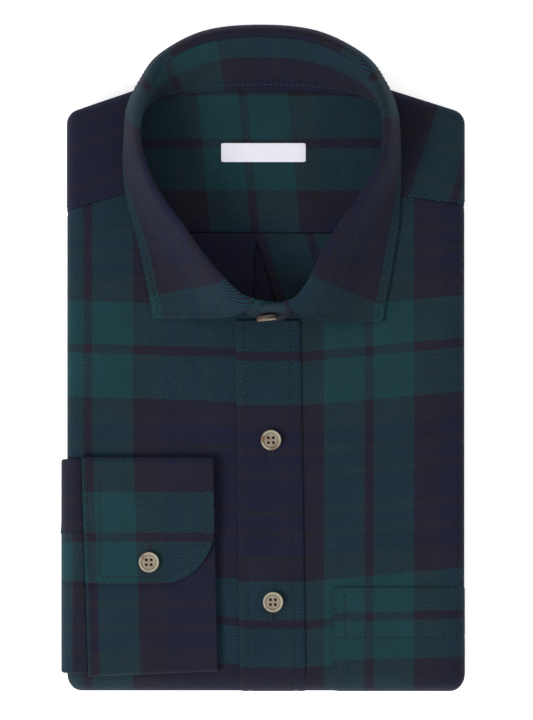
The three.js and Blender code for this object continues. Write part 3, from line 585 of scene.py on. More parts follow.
# Yoke: the outer shoulder piece, in one from seam to seam behind the neck, folded down over the top edge.
# It laps the fronts at both seams, sewn down with a line of stitches beside each.
YOKE_TURN = SOFT_START + math.pi * 6.25 + 4.0
YOKE_COLUMNS = 52
YOKE_CORNER = 3.0
YOKE_STITCH = 1.8
NECK_BEHIND = 54

# The yoke's cloth is turned: its weft's direction, the point it is laid from, and the right shoulder's shift
YOKE_GRAIN = (0.319, 0.948)
YOKE_POINT = (80, 88)
YOKE_WARP, YOKE_WEFT = -24.5, 50
RIGHT_YOKE_SHIFT = 60


rim_base, rim_outward = rim_of(np.full(6, SIDE_INSET + YOKE_CORNER), 2.0, 9)
rim_base = rim_base + rim_outward * YOKE_CORNER
seam_first = np.array((RIGHT_LINE, seam_at(YOKE_SEAM_LEFT, RIGHT_LINE) + GAP / 2))
seam_last = np.array((LEFT_LINE, seam_at(YOKE_SEAM_RIGHT, LEFT_LINE) + GAP / 2))
chosen = rim_base[:, 1] > np.where(rim_base[:, 0] > 0, seam_first[1], seam_last[1]) + 1.0
yoke_base = np.concatenate([[seam_first], rim_base[chosen], [seam_last]])
yoke_outward = np.concatenate([[(1, 0)], rim_outward[chosen], [(-1, 0)]])
near_seam = np.where(yoke_base[:, 0] > 0, yoke_base[:, 1] - seam_first[1], yoke_base[:, 1] - seam_last[1])
seam_pull = np.clip(1 - near_seam / 30, 0, 1) ** 2
seam_slope = np.where(yoke_base[:, 0] > 0, slope_of(YOKE_SEAM_LEFT), -slope_of(YOKE_SEAM_RIGHT))
yoke_outward[:, 1] += seam_slope * seam_pull

# Neck edge of the yoke from seam to seam, met by each row at a share of its length that follows the rim
NECK_SHARES = ((0, 0), (0.20, 0.165), (0.36, 0.345), (0.64, 0.655), (0.80, 0.835), (1, 1))
neck_back = np.concatenate([[(61.2, 91.2)], NECK_EDGE[6:19][::-1], [(-63.4, 94.2)]])
neck_around = np.concatenate([[0], np.linalg.norm(np.diff(neck_back, axis=0), axis=1).cumsum()])
step, fan = (np.linalg.norm(np.diff(line, axis=0), axis=1) for line in (yoke_base, yoke_outward))
step = step + 8 * fan
around = np.concatenate([[0], step.cumsum()]) / step.sum()
share = np.interp(around, *np.array(NECK_SHARES).T) * neck_around[-1]
neck_inner = np.stack([np.interp(share, neck_around, neck_back[:, k]) for k in (0, 1)], 1)
behind = np.abs(yoke_base[:, 0]) < NECK_BEHIND
neck_inner[behind, 0] = yoke_base[behind, 0]
neck_order = NECK_EDGE[9:16]
neck_inner[behind, 1] = np.interp(yoke_base[behind, 0], neck_order[:, 0], neck_order[:, 1])
skipped = np.maximum(0, ((neck_inner - yoke_base) * yoke_outward).sum(1))
yoke_knee = yoke_base + yoke_outward * skipped[:, None]
flat_length = np.linalg.norm(yoke_knee - neck_inner, axis=1)
run_length = np.linspace(0, 1, YOKE_COLUMNS)[:, None] * (flat_length + YOKE_TURN - skipped)
on_flat = np.clip(run_length / np.maximum(flat_length, 1e-6), 0, 1)[..., None]
yoke_flat = neck_inner * (1 - on_flat) + yoke_knee * on_flat
yoke_flat = yoke_flat + yoke_outward * np.maximum(0, run_length - flat_length)[..., None]
yoke_x, yoke_y = yoke_flat[..., 0], yoke_flat[..., 1]
yoke_seam_y = np.where(yoke_x > 0, seam_at(YOKE_SEAM_LEFT, yoke_x), seam_at(YOKE_SEAM_RIGHT, yoke_x))
seam_near = yoke_y - yoke_seam_y
seam_roll = 0.45 * np.exp(-np.maximum(0, seam_near) / 0.5)
yoke_face = FACE + 0.25 - seam_roll - stitch_dip(seam_near - YOKE_STITCH, 0.3, 0.6)
yoke_grid = drape(yoke_x, yoke_y, yoke_face)
turned = np.where(yoke_x > 0, 1.0, -1.0)
from_x, from_y = np.abs(yoke_x) - YOKE_POINT[0], yoke_y - YOKE_POINT[1]
yoke_u = from_x * YOKE_GRAIN[1] - from_y * YOKE_GRAIN[0] + YOKE_WARP
yoke_v = from_x * YOKE_GRAIN[0] + from_y * YOKE_GRAIN[1] + YOKE_WEFT
yoke_u = np.where(yoke_x > 0, yoke_u, yoke_u - RIGHT_YOKE_SHIFT)
yoke = grid_mesh("yoke_cloth", yoke_grid, np.stack([-yoke_u * turned, yoke_v], -1))
finish_cloth(yoke, CLOTH)
seam_run = np.arange(2.0, 44.0)
yoke_thread = stitches("yoke_stitches", yoke_grid, [
    (seam_run, np.full(42, 0.9)), (seam_run, np.full(42, len(yoke_base) - 1.9))])
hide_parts("yoke")

# Placket: a separate folded strip sewn on the left front's edge, with a stitch line along both sides.
PLACKET_TOP = 20.8
PLACKET_FOOT = -183.2
PLACKET_LEFT = (-15.1, -12.4)
PLACKET_RIGHT = (20.9, 23.9)
PLACKET_STITCH = 5.5
PLACKET_WARP, PLACKET_WEFT = 63.0, 4.4
placket_width = PLACKET_RIGHT[0] - PLACKET_LEFT[0]
across = stations(0, placket_width, PITCH, (PLACKET_STITCH, placket_width - PLACKET_STITCH)) / placket_width
along = stations(HEM_LINE - HEM_TURN + 14, PLACKET_TOP, PITCH)


def placket_x(share, y):
    """Across the placket at a height: its sides lean a little, as straight lines from the top to the foot."""
    down = (PLACKET_TOP - y) / (PLACKET_TOP - PLACKET_FOOT)
    left = PLACKET_LEFT[0] + (PLACKET_LEFT[1] - PLACKET_LEFT[0]) * down
    right = PLACKET_RIGHT[0] + (PLACKET_RIGHT[1] - PLACKET_RIGHT[0]) * down
    return left + (right - left) * share


def pressed(x, y):
    """How far a patch sinks towards the front where the pressed hem and side folds squeeze it."""
    return 1.15 * smooth(np.maximum(HEM_LINE + 4 - y, x - RIGHT_LINE + 3) / 14)


def placket_face(share, y):
    """Height of the placket's face: flat, drawn in at the stitch lines and rolled off at the sides."""
    from_side = np.minimum(share, 1 - share) * placket_width
    roll = 0.35 * np.exp(-from_side / 0.8)
    return PATCH_FACE - stitch_dip(from_side - PLACKET_STITCH) - roll - pressed(placket_x(share, y), y)


placket_share, placket_y = np.meshgrid(across, along, indexing="ij")
placket_grid = drape(placket_x(placket_share, placket_y), placket_y, placket_face(placket_share, placket_y))
placket_cloth = np.stack([
    placket_share * placket_width + PLACKET_WARP,
    np.interp(placket_y + PLACKET_WEFT, WEFT_PLACES, WEFT_SETT)], -1)
placket = grid_mesh("placket_cloth", placket_grid, placket_cloth)
finish_cloth(placket, CLOTH)
placket_run = np.arange(8.0, len(along) - 1)
stitch_columns = np.interp((PLACKET_STITCH, placket_width - PLACKET_STITCH), across * placket_width,
                           np.arange(len(across)))
placket_thread = stitches("placket_stitches", placket_grid, [
    (np.full(len(placket_run), column), placket_run) for column in stitch_columns])
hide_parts("placket")

# Pocket: a patch on the left front, hemmed along its top and sewn close to its edge.
# It runs round the side and under the hem end with the front.
POCKET_X = 38.8
POCKET_Y = -126.0
POCKET_EDGE_STITCH = 1.6
POCKET_HEM = 27.5
POCKET_GUARD = 6.6
POCKET_WARP = -58.6
pocket_columns = stations(POCKET_X, RIGHT_LINE + SIDE_TURN - 8, PITCH,
                          (POCKET_X + POCKET_EDGE_STITCH, POCKET_X + POCKET_GUARD))
pocket_rows = stations(HEM_LINE - HEM_TURN + 14, POCKET_Y, PITCH,
                       (POCKET_Y - POCKET_EDGE_STITCH, POCKET_Y - POCKET_HEM))


def pocket_face(x, y):
    """Height of the pocket's face: drawn in at its stitch lines and rolled off at its two free edges."""
    dip = stitch_dip(x - POCKET_X - POCKET_EDGE_STITCH) + stitch_dip(y - POCKET_Y + POCKET_HEM, 0.25)
    roll = 0.4 * np.exp(-(x - POCKET_X) / 0.7) + 0.3 * np.exp(-(POCKET_Y - y) / 0.8)
    return PATCH_FACE - dip - roll - pressed(x, y)


pocket_x, pocket_y = np.meshgrid(pocket_columns, pocket_rows, indexing="ij")
pocket_u = pocket_x + POCKET_WARP
pocket_v = np.interp(pocket_y + 0.4 - 0.024 * (pocket_x - 42), WEFT_PLACES, WEFT_SETT)
rounded = round_corners(pocket_x, pocket_y)
pocket_grid = drape(*rounded, pocket_face(pocket_x, pocket_y))
pocket = grid_mesh("pocket_cloth", pocket_grid, np.stack([pocket_u, pocket_v], -1))
finish_cloth(pocket, CLOTH)
column_number, row_number = np.arange(len(pocket_columns)), np.arange(len(pocket_rows))
down_run = np.arange(8.0, len(pocket_rows) - 3)
across_run = np.arange(3.0, len(pocket_columns) - 2)
edge_column, guard_column = np.interp((POCKET_X + POCKET_EDGE_STITCH, POCKET_X + POCKET_GUARD),
                                      pocket_columns, column_number)
hem_row, bar_row = np.interp((POCKET_Y - POCKET_HEM, POCKET_Y - POCKET_EDGE_STITCH), pocket_rows, row_number)
pocket_thread = stitches("pocket_stitches", pocket_grid, [
    (np.full(len(down_run), edge_column), down_run),
    (across_run, np.full(len(across_run), hem_row)),
    (np.full(20, guard_column), np.linspace(hem_row, bar_row, 20)),
    (np.linspace(edge_column, guard_column, 4), np.full(4, bar_row))])
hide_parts("pocket")

# Inner yoke and back: the two inside pieces seen through the neck, joined in a seam, in a shallow hollow.
# The twill runs the other way on this face. The back has a box pleat under the seam.
NECK_CENTRE = (0.0, 92.0)
NECK_DEPTH = 3.5
YOKE_SEAM_INSIDE = 69.0

# Where the dark lines down and across the inner yoke's green cross its edge, and how far the one down leans
INNER_LINE_X, INNER_LINE_TOP, INNER_LINE_Y = -11, 144.7, 118.2
INNER_LEAN = 0.093


def smooth_rows(table, per_row):
    """A smooth curve through the rows of a table, so many steps from row to row: a cubic from each row to
    the next, whose slope at a row is half the step between its two neighbours."""
    ends = np.concatenate([[2 * table[0] - table[1]], table, [2 * table[-1] - table[-2]]])
    place = np.linspace(0, len(table) - 1, (len(table) - 1) * per_row + 1)
    row = np.minimum(place.astype(int), len(table) - 2)
    t = (place - row)[:, None]
    a, b, c, d = (ends[row + k] for k in range(4))
    square, cube = 2 * a - 5 * b + 4 * c - d, 3 * b - a - 3 * c + d
    return 0.5 * (2 * b + (c - a) * t + square * t ** 2 + cube * t ** 3)


neck_line = smooth_rows(NECK_EDGE, 8)


def neck_radius(x, y):
    """Distance from the neck's centre to the neck edge in the direction of each point."""
    line = neck_line - NECK_CENTRE
    angles = np.arctan2(line[:, 1], line[:, 0])
    order = angles.argsort()
    around = np.arctan2(y - NECK_CENTRE[1], x - NECK_CENTRE[0])
    return np.interp(around, angles[order], np.hypot(line[:, 0], line[:, 1])[order], period=2 * np.pi)


def hollow_face(x, y, offset):
    """Cloth inside the neck: level with the fronts at the neck edge and lower towards the middle."""
    share = np.minimum(1, np.hypot(x - NECK_CENTRE[0], y - NECK_CENTRE[1]) / neck_radius(x, y))
    height = drape(x, y, np.full(x.shape, FACE))[..., 2] + offset - NECK_DEPTH * (1 - share ** 3)
    return np.stack([x, y, height], -1)


def patch_between(low, high, left, right):
    """A sheet between four border curves: both blends of opposite borders added, less the corners' blend."""
    a = np.linspace(0, 1, len(low))[:, None, None]
    b = np.linspace(0, 1, len(left))[None, :, None]
    rows = low[:, None] * (1 - b) + high[:, None] * b
    columns = left[None] * (1 - a) + right[None] * a
    corners = (low[0] * (1 - a) + low[-1] * a) * (1 - b) + (high[0] * (1 - a) + high[-1] * a) * b
    return rows + columns - corners


def along_line(line, count):
    """So many points evenly spaced by length along a line."""
    length = np.concatenate([[0], np.linalg.norm(np.diff(line, axis=0), axis=1).cumsum()])
    even = np.linspace(0, length[-1], count)
    return np.stack([np.interp(even, length, line[:, k]) for k in range(line.shape[1])], 1)


wide_neck = NECK_CENTRE + (neck_line - NECK_CENTRE) * 1.012
left_side = wide_neck[wide_neck[:, 0] < 0]
right_side = wide_neck[wide_neck[:, 0] >= 0][::-1]
seam_left = np.interp(YOKE_SEAM_INSIDE, left_side[:100, 1], left_side[:100, 0])
seam_right = np.interp(YOKE_SEAM_INSIDE, right_side[:100, 1], right_side[:100, 0])
up_left = left_side[left_side[:, 1] > YOKE_SEAM_INSIDE]
up_right = right_side[right_side[:, 1] > YOKE_SEAM_INSIDE]
split_left = int(np.argmin(np.linalg.norm(up_left - NECK_EDGE[8], axis=1)))
split_right = int(np.argmin(np.linalg.norm(up_right - NECK_EDGE[16], axis=1)))
seam_start, seam_end = np.array((seam_left, YOKE_SEAM_INSIDE)), np.array((seam_right, YOKE_SEAM_INSIDE))
inner_left = along_line(np.concatenate([[seam_start], up_left[:split_left + 1]]), 50)
inner_right = along_line(np.concatenate([[seam_end], up_right[:split_right + 1]]), 50)
inner_low = along_line(np.stack([seam_start, seam_end]), 90)
inner_high = along_line(np.concatenate([up_left[split_left:], up_right[split_right:][::-1]]), 90)
inner_plan = patch_between(inner_low, inner_high, inner_left, inner_right)
inner_x, inner_y = inner_plan[..., 0], inner_plan[..., 1]
inner_grid = hollow_face(inner_x, inner_y, 0.3 - stitch_dip(inner_y - YOKE_SEAM_INSIDE, 0.9, 0.5))
inner_u = inner_x - INNER_LINE_X + INNER_LEAN * (inner_y - INNER_LINE_TOP)
inner_v = (inner_y - INNER_LINE_Y) * 0.9
inner_yoke = grid_mesh("inner_yoke_cloth", inner_grid, np.stack([-inner_u, inner_v], -1))
finish_cloth(inner_yoke, CLOTH)
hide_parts("inner_yoke")

PLEAT_APEX = np.array((-3.6, 67.5))
PLEAT_LEFT = np.array((-5.8, 30.8))
PLEAT_RIGHT = np.array((6.9, 33.0))
LEFT_WARP, PLEAT_WARP, RIGHT_WARP, RIGHT_LEAN = 77, 50, -25.6, 0.33
BACK_WEFT = 130
down_left = left_side[left_side[:, 1] < YOKE_SEAM_INSIDE][::-1]
down_right = right_side[right_side[:, 1] < YOKE_SEAM_INSIDE][::-1]
back_low = along_line(np.stack([down_left[-1], down_right[-1]]), 220)
back_high = along_line(np.stack([seam_start, seam_end]) - (0, GAP), 220)
back_left = along_line(np.concatenate([[seam_start - (0, GAP)], down_left]), 60)[::-1]
back_right = along_line(np.concatenate([[seam_end - (0, GAP)], down_right]), 60)[::-1]
back_plan = patch_between(back_low, back_high, back_left, back_right)
back_x, back_y = back_plan[..., 0], back_plan[..., 1]


def beside(x, y, start, end):
    """Signed distance of a point to the right of the line from start down to end."""
    run = (end - start) / np.linalg.norm(end - start)
    return (y - start[1]) * run[0] - (x - start[0]) * run[1]


in_left = beside(back_x, back_y, PLEAT_APEX, PLEAT_LEFT)
in_right = -beside(back_x, back_y, PLEAT_APEX, PLEAT_RIGHT)
in_pleat = np.minimum(in_left, in_right)
fold_roll = np.where(in_pleat < 0, np.exp(in_pleat / 7) * (1 - np.exp(in_pleat / 0.5)), 0)
sunk = 0.9 / (1 + np.exp(-in_pleat / 0.15)) + 1.6 * np.exp(-((in_pleat - 0.35) / 0.35) ** 2)
sunk = sunk + 0.8 * np.exp(-((in_left - 2.2) / 1.8) ** 2) * (in_right > 0)
raised = (1.3 * fold_roll - sunk) * np.clip((YOKE_SEAM_INSIDE - back_y) / 9, 0, 1)
back_grid = hollow_face(back_x, back_y, raised - stitch_dip(back_y - YOKE_SEAM_INSIDE, 0.9, 0.7))
right_u = back_x + RIGHT_WARP + RIGHT_LEAN * (back_y - YOKE_SEAM_INSIDE + 0.8)
left_u = back_x + LEFT_WARP
inside_u = back_x + PLEAT_WARP
back_u = np.where(in_pleat > 0, inside_u, np.where(in_left <= 0, left_u, right_u))
back_v = BACK_WEFT - back_y
back = grid_mesh("back_cloth", back_grid, np.stack([-back_u, back_v], -1))
finish_cloth(back, CLOTH)
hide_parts("back")

# Label: a small blank woven satin tab with its ends turned under, sewn on the inner yoke.
LABEL_BOX = ((-22.8, 107.8), (23.9, 118.3))
LABEL_RISE = 1.6
LABEL_STITCH = 1.6
label_columns = np.linspace(LABEL_BOX[0][0], LABEL_BOX[1][0], 60)
label_rows = np.linspace(LABEL_BOX[0][1], LABEL_BOX[1][1], 18)
label_x, label_y = np.meshgrid(label_columns, label_rows, indexing="ij")
from_end = np.minimum(label_x - LABEL_BOX[0][0], LABEL_BOX[1][0] - label_x)
from_long = np.minimum(label_y - LABEL_BOX[0][1], LABEL_BOX[1][1] - label_y)
label_lift = LABEL_RISE - 0.45 * np.exp(-from_end / 0.9) - 0.25 * np.exp(-from_long / 0.8)
ripple = 0.12 * np.sin(label_x / 7.0) * np.cos(label_y / 4.0)
label_lift = label_lift - stitch_dip(from_end - LABEL_STITCH, 0.2, 0.4) + ripple
label_grid = hollow_face(label_x, label_y, label_lift)
corner_pull = 0.25 * np.exp(-from_end / 0.6) * np.exp(-from_long / 0.6)
label_middle = np.mean(LABEL_BOX, axis=0)
label_grid[..., 0] -= np.sign(label_x - label_middle[0]) * corner_pull
label_grid[..., 1] -= np.sign(label_y - label_middle[1]) * corner_pull
label = grid_mesh("label_cloth", label_grid, np.stack([label_x, label_y], -1))
finish_cloth(label, 0.9, rim=0.12)
label.data.materials.clear()


def satin_material():
    """White woven satin: fine raised ribs along the label, a soft gloss and a faintly cool tone."""
    material = bpy.data.materials.new("white_satin")
    material.use_nodes = True
    tree = material.node_tree
    shader = tree.nodes["Principled BSDF"]
    shader.inputs["Roughness"].default_value = 0.5
    shader.inputs["Sheen Weight"].default_value = 0.2
    cloth = node(tree, "ShaderNodeUVMap", uv_map="cloth")
    threads = node(tree, "ShaderNodeTexWave", _0=cloth.outputs[0], _1=1100.0)
    threads.bands_direction = "Y"
    mottle = node(tree, "ShaderNodeTexNoise", _0=cloth.outputs[0], _2=900.0, _3=2.0)
    mixed = node(tree, "ShaderNodeMath", operation="MULTIPLY", _0=threads.outputs[1], _1=mottle.outputs[0])
    # The colour follows the same rib height as the bump: painted shade in the hollows between the ribs, over a
    # random mottled tone.
    tone = node(tree, "ShaderNodeMapRange", _0=mixed.outputs[0], _3=0.92, _4=1.06)
    shade = node(tree, "ShaderNodeVectorMath", operation="SCALE", _0=(0.72, 0.72, 0.80), _3=tone.outputs[0])
    tree.links.new(shade.outputs[0], shader.inputs["Base Color"])
    bump = node(tree, "ShaderNodeBump")
    bump.inputs["Strength"].default_value = 0.3
    bump.inputs["Distance"].default_value = 0.0003
    tree.links.new(mixed.outputs[0], bump.inputs["Height"])
    tree.links.new(bump.outputs[0], shader.inputs["Normal"])
    return material


label.data.materials.append(satin_material())
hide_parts("label")

# Collar stand: the band round the neck, two layers over an interlining, its ends overlapping at the front.
# It leans out behind the neck, and its inner face shows.
BAND = 2.0
STAND_TOP = np.array([
    (-5, 31.8, 50.0), (-11.5, 34.2, 51.0), (-21.9, 43.9, 52.5), (-31.2, 54.9, 53.5), (-44.2, 73, 55.0),
    (-57, 91, 55.5), (-64.5, 107.5, 55.5), (-67.6, 124, 55.0), (-65.2, 138, 54.0), (-60.5, 151, 52.5),
    (-52, 163, 50.0), (-29.5, 173.6, 47.5), (-1, 176.5, 46.5), (27, 173.6, 47.5), (50.5, 163, 50.0),
    (60, 151, 52.5), (65.0, 138, 54.0), (66.4, 124, 55.0), (64.6, 107.5, 55.5), (55.2, 91, 55.5),
    (42.4, 73, 55.0), (31.6, 54.9, 53.5), (26.5, 43.4, 52.5), (18.5, 33.0, 51.0), (11.5, 30.0, 50.0)])
INNER_END = ((9.6, 25.6, 9.0, 30.2, 43.0), (2.6, 24.0, 2.4, 30.4, 47.5))
OUTER_END = ((3.6, 20.9, 4.6, 29.3, 49.6), (-3.2, 20.9, -2.2, 29.3, 49.4))
ROW_STEPS = 8
STAND_WARP, STAND_WEFT = 175.0, 9.8


def base_points(plan):
    """Foot of the stand: on the fronts' face, at the height just inside the neck edge."""
    x, y = plan[:, 0], plan[:, 1]
    height = drape(x, y - BAND, np.full(len(x), ON_FACE))[:, 2]
    return np.column_stack([x, y, height])


inner_end, outer_end = np.array(INNER_END), np.array(OUTER_END)
stand_plan = np.concatenate([inner_end[:, :2], NECK_EDGE, outer_end[:, :2]])
stand_base = smooth_rows(base_points(stand_plan), ROW_STEPS)
stand_top = smooth_rows(np.concatenate([inner_end[:, 2:], STAND_TOP, outer_end[:, 2:]]), ROW_STEPS)
heights = np.array([0, 0.05, 0.1, 0.125, 0.15, 0.2, 0.3, 0.4, 0.5, 0.6, 0.7, 0.8, 0.9, 1.0])
stand_grid = stand_base[:, None] * (1 - heights[None, :, None]) + stand_top[:, None] * heights[None, :, None]


def lengths_along(line):
    """Length from the start to each point of a line, or of each line of a grid."""
    step = np.linalg.norm(np.diff(line, axis=0), axis=-1)
    return np.concatenate([np.zeros((1,) + step.shape[1:]), step.cumsum(0)])


stand_along = lengths_along(stand_base)
stand_height = np.linalg.norm(stand_top - stand_base, axis=1)
stand_u = np.repeat((stand_along - STAND_WARP)[:, None], len(heights), axis=1)
stand_v = (1 - heights)[None] * stand_height[:, None] + STAND_WEFT
stand = grid_mesh("collar_stand_cloth", stand_grid, np.stack([-stand_u, stand_v], -1))
finish_cloth(stand, BAND, side=0.0, rim=0.6)
stand_run = np.arange(24.0, len(stand_grid) - 24)
stand_thread = stitches("stand_stitches", stand_grid, [(stand_run, np.full(len(stand_run), 3.0))],
                        lift=BAND / 2, thread=LIGHT_THREAD)
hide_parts("collar_stand")

# Collar leaf: two layers over an interlining, turned down from the stand's top edge in a soft roll.
# It is stitched a few millimetres inside its edge, and its points lie on the fronts.
LEAF = 1.6
LEAF_START = 1.6
LEAF_RISE = 2.5
CREST_WARP, EDGE_WARP = (2.0, 427.0), (11.5, 411.3)
LEAF_REPEAT, LEAF_WEFT = 142.0, 18.1
LEAF_EDGE = np.array([
    (-60.2, 21.5, 1.2), (-61.2, 28.5, 1.2), (-64.1, 42.9, 1.2), (-66.6, 55, 1.2), (-70.8, 73, 1.3),
    (-74.9, 91, 1.5), (-76.2, 108, 1.6), (-75.4, 124, 1.8), (-74.0, 138, 1.4), (-67.2, 152, -0.6),
    (-57.5, 165, -14), (-33.0, 178.4, -19), (-1, 181.8, -20), (31.5, 178.4, -19), (57, 165, -14),
    (67.0, 152, -0.6), (73.2, 138, 1.4), (75.1, 124, 1.8), (75.6, 108, 1.6), (75.4, 91, 1.5),
    (74.6, 73, 1.3), (72, 55, 1.2), (70.1, 42.9, 1.2), (67.2, 28.5, 1.2), (66.3, 19.8, 1.2)])
LEAF_PULL = np.array([
    (39, 0, 1, 12.5), (34, 1, 1, 11), (22, 4, 1, 8), (18, 3, 2, 7), (11, 2, 6, 6), (6, 1, 10, 5.5),
    (2, 0, 13, 5), (0, 0, 14, 5), (0, 0, 15, 5), (0, 0, 16, 5), (0, 0, 19, 5), (0, 0, 20, 5),
    (0, 0, 20, 5), (0, 0, 20, 5), (0, 0, 19, 5), (0, 0, 16, 5), (0, 0, 15, 5), (0, 0, 14, 5),
    (-2, 0, 13, 5), (-7, 1, 10, 5.5), (-13, 2, 6, 6), (-20, 3, 2, 7), (-23, 4, 1, 8), (-26, 2, 1, 10),
    (-26, -1, 1, 11)])
edge_height = drape(LEAF_EDGE[:, 0], np.minimum(LEAF_EDGE[:, 1], 140), np.full(len(LEAF_EDGE), FACE))[:, 2]
leaf_edges = smooth_rows(np.column_stack([LEAF_EDGE[:, :2], edge_height + LEAF_EDGE[:, 2]]), ROW_STEPS)
leaf_pulls = smooth_rows(LEAF_PULL, ROW_STEPS)
leaf_bases = smooth_rows(base_points(NECK_EDGE), ROW_STEPS)
leaf_tops = smooth_rows(STAND_TOP, ROW_STEPS)
upward = leaf_tops - leaf_bases
upward /= np.linalg.norm(upward, axis=1)[:, None]
ahead = np.gradient(leaf_tops, axis=0)
sideways = np.column_stack([-ahead[:, 1], ahead[:, 0], np.zeros(len(ahead))])
sideways /= np.linalg.norm(sideways, axis=1)[:, None]
bend_start = leaf_tops + upward * LEAF_START
bend_crest = bend_start + upward * LEAF_RISE + sideways * leaf_pulls[:, 3:]
bend_end = leaf_edges + leaf_pulls[:, :3]
EDGE_STITCH = 3.0
t = np.concatenate([np.linspace(0, 0.3, 12), np.linspace(0.3, 1, 26)[1:]])[None, :, None]
leaf_curve = ((1 - t) ** 3 * bend_start[:, None] + 3 * (1 - t) ** 2 * t * bend_crest[:, None]
              + 3 * (1 - t) * t ** 2 * bend_end[:, None] + t ** 3 * leaf_edges[:, None])
leaf_grid = np.concatenate([(leaf_tops + upward * 0.4)[:, None], leaf_curve], axis=1)
crest_along, edge_along = lengths_along(leaf_tops), lengths_along(leaf_edges)
leaf_across = lengths_along(leaf_grid.transpose(1, 0, 2)).T
leaf_share = leaf_across / leaf_across[:, -1:]
crest_u = np.interp(crest_along / crest_along[-1], (0, 1), CREST_WARP)
edge_u = np.interp(edge_along / edge_along[-1], (0, 1), EDGE_WARP)
leaf_u = (crest_u[:, None] * (1 - leaf_share) + edge_u[:, None] * leaf_share) * (WARP_REPEAT / LEAF_REPEAT)
leaf_v = leaf_across[:, -1:] - leaf_across + LEAF_WEFT
leaf = grid_mesh("collar_leaf_cloth", leaf_grid, np.stack([leaf_u, leaf_v], -1))
finish_cloth(leaf, LEAF, side=0.0, rim=0.6)
edge_column = np.array([np.interp(row[-1] - EDGE_STITCH, row, np.arange(len(row))) for row in leaf_across])
first_row = np.interp(EDGE_STITCH, edge_along, np.arange(len(edge_along)))
last_row = np.interp(edge_along[-1] - EDGE_STITCH, edge_along, np.arange(len(edge_along)))
edge_run = np.linspace(first_row, last_row, 400)
leaf_lines = [(edge_run, np.interp(edge_run, np.arange(len(edge_column)), edge_column))]
for row in (first_row, last_row):
    leaf_lines.append((np.full(40, row), np.linspace(14, edge_column[int(row)], 40)))
leaf_thread = stitches("leaf_stitches", leaf_grid, leaf_lines, lift=LEAF / 2)
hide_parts("collar_fall")

# Sleeve end: a flattened tube that comes out between the layers at the side and over the edge to the cuff.
# It is pleated into the cuff: one small fold and one tuck cross it.
SLEEVE_HEAD = -55.6
SLEEVE_FOOT = -173.3
SLEEVE_FACE = 4.8
SLEEVE_PLY = 1.45
SLEEVE_FOLD, SLEEVE_TUCK = -97.0, -124.0
SLEEVE_WARP, SLEEVE_WEFT = 129.3, 98.9
CUFF_HEAD, CUFF_FOOT = -54.5, -173.8
CUFF_SEAM = (-99.8, -96.0)
CUFF_WRIST = (-27.2, -24.8)


def cuff_line(line, y):
    """A cuff side seen from above: a straight line from its head to its foot."""
    return line[0] + (line[1] - line[0]) * (y - CUFF_HEAD) / (CUFF_FOOT - CUFF_HEAD)


half_turn = np.linspace(np.pi / 2, -np.pi / 2, 9)
round_fold, level_fold = SLEEVE_PLY * np.cos(half_turn[1:-1]), np.sin(half_turn[1:-1])
flat_y = np.linspace(SLEEVE_FOOT + SLEEVE_PLY, SLEEVE_HEAD - SLEEVE_PLY, 130)
loop_y = np.concatenate([flat_y, SLEEVE_HEAD - SLEEVE_PLY + round_fold, flat_y[::-1],
                         SLEEVE_FOOT + SLEEVE_PLY - round_fold])
loop_level = np.concatenate([np.ones(len(flat_y)), level_fold, -np.ones(len(flat_y)), level_fold[::-1]])
sleeve_share = np.linspace(0, 1, 40)
sleeve_start = LEFT_LINE - SOFT_START - math.radians(145) * 9.6
sleeve_end = cuff_line(CUFF_SEAM, loop_y) - GAP / 2
sleeve_x = sleeve_start + (sleeve_end[None] - sleeve_start) * sleeve_share[:, None]
sleeve_y = np.repeat(loop_y[None], len(sleeve_share), axis=0)
sleeve_offset = SLEEVE_FACE - SLEEVE_PLY + SLEEVE_PLY * loop_level[None] * np.ones_like(sleeve_x)
ridge = 0.7 * np.exp(-np.abs(sleeve_y - SLEEVE_FOLD) / 2.5) * (sleeve_y > SLEEVE_FOLD)
tuck = 0.9 * stitch_dip(sleeve_y - SLEEVE_TUCK, 1.0, 0.9) * smooth((sleeve_x + 112) / 5)
sleeve_offset = sleeve_offset + (ridge - tuck) * (loop_level[None] > 0.9)
sleeve_grid = drape(sleeve_x, sleeve_y, sleeve_offset)
sleeve_grid[..., 1] = sleeve_y
above_fold = sleeve_y > SLEEVE_FOLD
sleeve_v = np.where(above_fold, 45 + (sleeve_y - SLEEVE_FOLD) * 0.9, sleeve_y + SLEEVE_WEFT)
sleeve_u = -(sleeve_x + SLEEVE_WARP) - 10.0 * above_fold
sleeve_cloth = np.stack([sleeve_u, sleeve_v], -1)
sleeve = grid_mesh("sleeve_cloth", sleeve_grid, sleeve_cloth, closed=True)
finish_cloth(sleeve, 1.0)
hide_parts("sleeve")

# Cuff: an interlined band flattened into a spiral, sewn twice along the sleeve and once round its edge.
# The lap with its rounded corner lies on top, buttoned down.
CUFF_WALL = 2.0
LAP_END, LAP_START = -124.3, -98.0
LAP_CORNER = 32.0
FOOT_LEAN, FOOT_MIDDLE = 0.042, -62.0
CUFF_WARP, UNDER_WEFT, LAP_WEFT, CUFF_STRETCH = 4.3, 201, 98.45, 0.94
LEVEL_BACK, LEVEL_UNDER, LEVEL_OVER, LEVEL_HEAD = 1.4, 4.0, 6.4, 5.4
under_foot = LEVEL_UNDER - 0.3
foot_radius = (under_foot - LEVEL_BACK) / 2
head_radius = (LEVEL_HEAD - LEVEL_BACK) / 2
foot_centre = CUFF_FOOT + CUFF_WALL / 2 + foot_radius
head_centre = CUFF_HEAD - CUFF_WALL / 2 - head_radius
foot_turn = np.radians(np.linspace(90, 270, 13))
head_turn = np.radians(np.linspace(-90, 90, 15))
under_y = np.linspace(LAP_START, foot_centre, 50)[:-1]
back_run = np.linspace(foot_centre, head_centre, 60)[1:-1]
